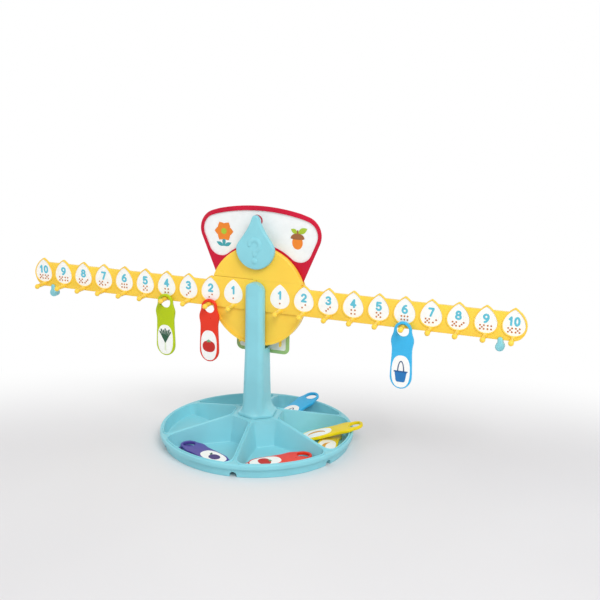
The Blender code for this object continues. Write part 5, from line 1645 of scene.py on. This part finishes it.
def in_pocket(index, reach, shift, height):
    """A point in a pocket: reach along its middle line, shift across it."""
    middle = math.radians(FIRST_DIVIDER_ANGLE + SECTOR * (index + 0.5))
    return Vector((reach * math.cos(middle) - shift * math.sin(middle),
                   reach * math.sin(middle) + shift * math.cos(middle), height))


def flat_place(index, layer, turn, shift):
    """Across a pocket, flat on its floor or on the token below."""
    height = TRAY_FLOOR + CLEARANCE + layer * (TOKEN_THICKNESS + CLEARANCE)
    heading = FIRST_DIVIDER_ANGLE + SECTOR * (index + 0.5) + 90 + turn
    centre = in_pocket(index, FLAT_TOKEN_REACH, shift, height)
    back = Vector((*around((0, 0), 1, heading), 0))
    return lying_place(centre - back * TOKEN_LENGTH / 2, heading, 0)


def leaning_place(index, hub_room, shift, turn):
    """Foot end on the pocket's floor, resting on the rim."""
    foot = in_pocket(index, HUB_APOTHEM + hub_room, shift, TRAY_FLOOR + CLEARANCE)
    heading = math.radians(FIRST_DIVIDER_ANGLE + SECTOR * (index + 0.5) + turn)
    ahead = Vector((math.cos(heading), math.sin(heading)))
    to_rim = TOKEN_LENGTH
    for side in (-TOKEN_FOOT_RADIUS, 0, TOKEN_FOOT_RADIUS):
        flat = foot.xy + ahead.orthogonal() * side
        outward = flat.dot(ahead)
        to_rim = min(to_rim, math.sqrt(outward ** 2 - flat.dot(flat) + RIM_INNER ** 2) - outward)
    slope = math.degrees(math.atan2(TRAY_RIM_HEIGHT + CLEARANCE - foot.z, to_rim))
    return lying_place(foot, math.degrees(heading), slope)


def tokens():
    """Ten tokens with a white oval and a plain little picture: three on pegs, seven in the tray."""
    mesh = token_mesh()
    field = super_oval((0, OVAL_MIDDLE), OVAL_WIDTH / 2, OVAL_HEIGHT / 2, OVAL_POWER, 56)
    pictures = {"lime": leek(), "red": tomato(), "blue": basket(), "purple": plum(),
                "bright_yellow": crescent()}
    left = POCKETS - 1
    for name, body, colour, place in (
            ("lime_token", "lime_token", "lime", hanging_place(-4)),
            ("red_token", "red_token", "red", hanging_place(-2)),
            ("blue_token", "blue_token", "blue", hanging_place(6)),
            ("tray_red_low", "tray_red_pile", "red", flat_place(0, 0, 0, -FLAT_TOKEN_SHIFT)),
            ("tray_red_high", "tray_red_pile", "red",
             flat_place(0, 1, TOP_TOKEN_TURN, FLAT_TOKEN_SHIFT)),
            ("tray_purple_low", "tray_purple_pile", "purple", flat_place(left, 0, 180, 0)),
            ("tray_purple_high", "tray_purple_pile", "purple",
             flat_place(left, 1, 180 - TOP_TOKEN_TURN, 0)),
            ("tray_yellow_low", "tray_yellow_low", "bright_yellow", flat_place(1, 0, 0, 0)),
            ("tray_yellow_high", "tray_yellow_high", "bright_yellow",
             leaning_place(1, YELLOW_TOKEN_HUB_ROOM, YELLOW_TOKEN_SHIFT, YELLOW_TOKEN_TURN)),
            ("tray_blue", "tray_blue", "blue",
             leaning_place(2, BLUE_TOKEN_HUB_ROOM, BLUE_TOKEN_SHIFT, BLUE_TOKEN_TURN))):
        dress(link(name + "_dressed", mesh.copy()), colour, body, place)
        plates(name + "_oval", [field], "white_print", body, -TOKEN_THICKNESS, place)
        for index, (outlines, ink) in enumerate(pictures[colour], 1):
            plates(name + "_picture_" + str(index), outlines, ink, body,
                   -TOKEN_THICKNESS - index * PRINT_RISE, place)


# Floor, light and camera

def sees_backdrop(tree):
    """1 for the rays that see the white backdrop: from the camera, mirrored or passing through."""
    rays = add_node(tree, "LightPath", {})
    total = rays.outputs["Is Camera Ray"]
    for kind in ("Is Glossy Ray", "Is Transmission Ray"):
        either = add_node(tree, "Math", {0: total, 1: rays.outputs[kind]})
        either.operation = "MAXIMUM"
        total = either.outputs["Value"]
    return total


def mixed(tree, share, first, second, output):
    """Mixes two shaders by share and links the result to an output node's surface."""
    mix = add_node(tree, "MixShader", {"Fac": share, 1: first, 2: second})
    tree.links.new(mix.outputs["Shader"], tree.nodes[output].inputs["Surface"])


def floor():
    """A wide pale table top that turns white a little way behind the object."""
    made = solid("floor", [[at_level(full_circle((0, 0), FLOOR_RADIUS, 96), level)
                            for level in (-FLOOR_THICKNESS, -FLOOR_GAP)]])
    finish = Finish("floor", 0.8)
    finish.colour((0.765, 0.750, 0.757), (0.805, 0.792, 0.797), 3)
    finish.gloss(20, 0.05)
    tree = finish.tree
    distance = add_node(tree, "VectorMath", {0: finish.place, 1: FLOOR_FRONT})
    distance.operation = "DISTANCE"
    fade = add_node(tree, "MapRange", {
        "Value": distance.outputs["Value"], "From Min": WHITE_START, "From Max": WHITE_END})
    fade.interpolation_type = "SMOOTHSTEP"
    share = add_node(tree, "Math", {0: fade.outputs["Result"], 1: sees_backdrop(tree)})
    share.operation = "MULTIPLY"
    white = add_node(tree, "Emission", {})
    mixed(tree, share.outputs["Value"], finish.shader.outputs["BSDF"],
          white.outputs["Emission"], "Material Output")
    made.data.materials.append(finish.material)


def world():
    """Even pale light from all round; the camera sees plain white."""
    made = bpy.data.worlds.new("studio")
    made.use_nodes = True
    tree = made.node_tree
    light = tree.nodes["Background"]
    light.inputs["Color"].default_value = (0.96, 0.98, 1.0, 1.0)
    light.inputs["Strength"].default_value = LIGHT_LEVEL
    white = add_node(tree, "Background", {"Color": (1.0, 1.0, 1.0, 1.0)})
    mixed(tree, sees_backdrop(tree), light.outputs["Background"],
          white.outputs["Background"], "World Output")
    bpy.context.scene.world = made


def lamp(name, place, size, power):
    data = bpy.data.lights.new(name, "AREA")
    data.size = size
    data.energy = power
    made = link(name, data)
    made.location = place
    made.rotation_mode = "QUATERNION"
    made.rotation_quaternion = (Vector(LAMP_AIM) - Vector(place)).to_track_quat("-Z", "Y")


def camera():
    azimuth = math.radians(CAMERA_AZIMUTH)
    elevation = math.radians(CAMERA_ELEVATION)
    roll = math.radians(CAMERA_ROLL)
    ahead = Vector((-math.sin(azimuth) * math.cos(elevation),
                    math.cos(azimuth) * math.cos(elevation), -math.sin(elevation)))
    level = Vector((math.cos(azimuth), math.sin(azimuth), 0))
    above = level.cross(ahead)
    right = level * math.cos(roll) + above * math.sin(roll)
    up = -level * math.sin(roll) + above * math.cos(roll)
    data = bpy.data.cameras.new("camera")
    data.lens = CAMERA_LENS
    data.sensor_width = SENSOR_WIDTH
    made = link("camera", data)
    turn = Matrix((right, up, -ahead)).transposed().to_4x4()
    turn.translation = CAMERA_PLACE
    made.matrix_world = turn
    bpy.context.scene.camera = made


def refinish_cad():
    """Better finishes on the CAD nodes that stay."""
    for name, finish in (("hub_bush", "nylon"), ("ballast", "zinc")):
        for spot in frame["nodes"][name].material_slots:
            spot.material = finishes[finish]


camera()
world()
lamp("key", (0.9, -1.0, 1.3), 0.9, 18.5)
lamp("fill", (-1.2, -0.6, 0.9), 1.5, 4.0)
floor()
arms()
labels()
hub_front()
hub_rear()
sign_frame()
sign_print()
question_card()
riders()
pointer()
screws()
axle()
post()
tray()
tokens()
refinish_cad()

bpy.context.scene.view_settings.view_transform = "Standard"
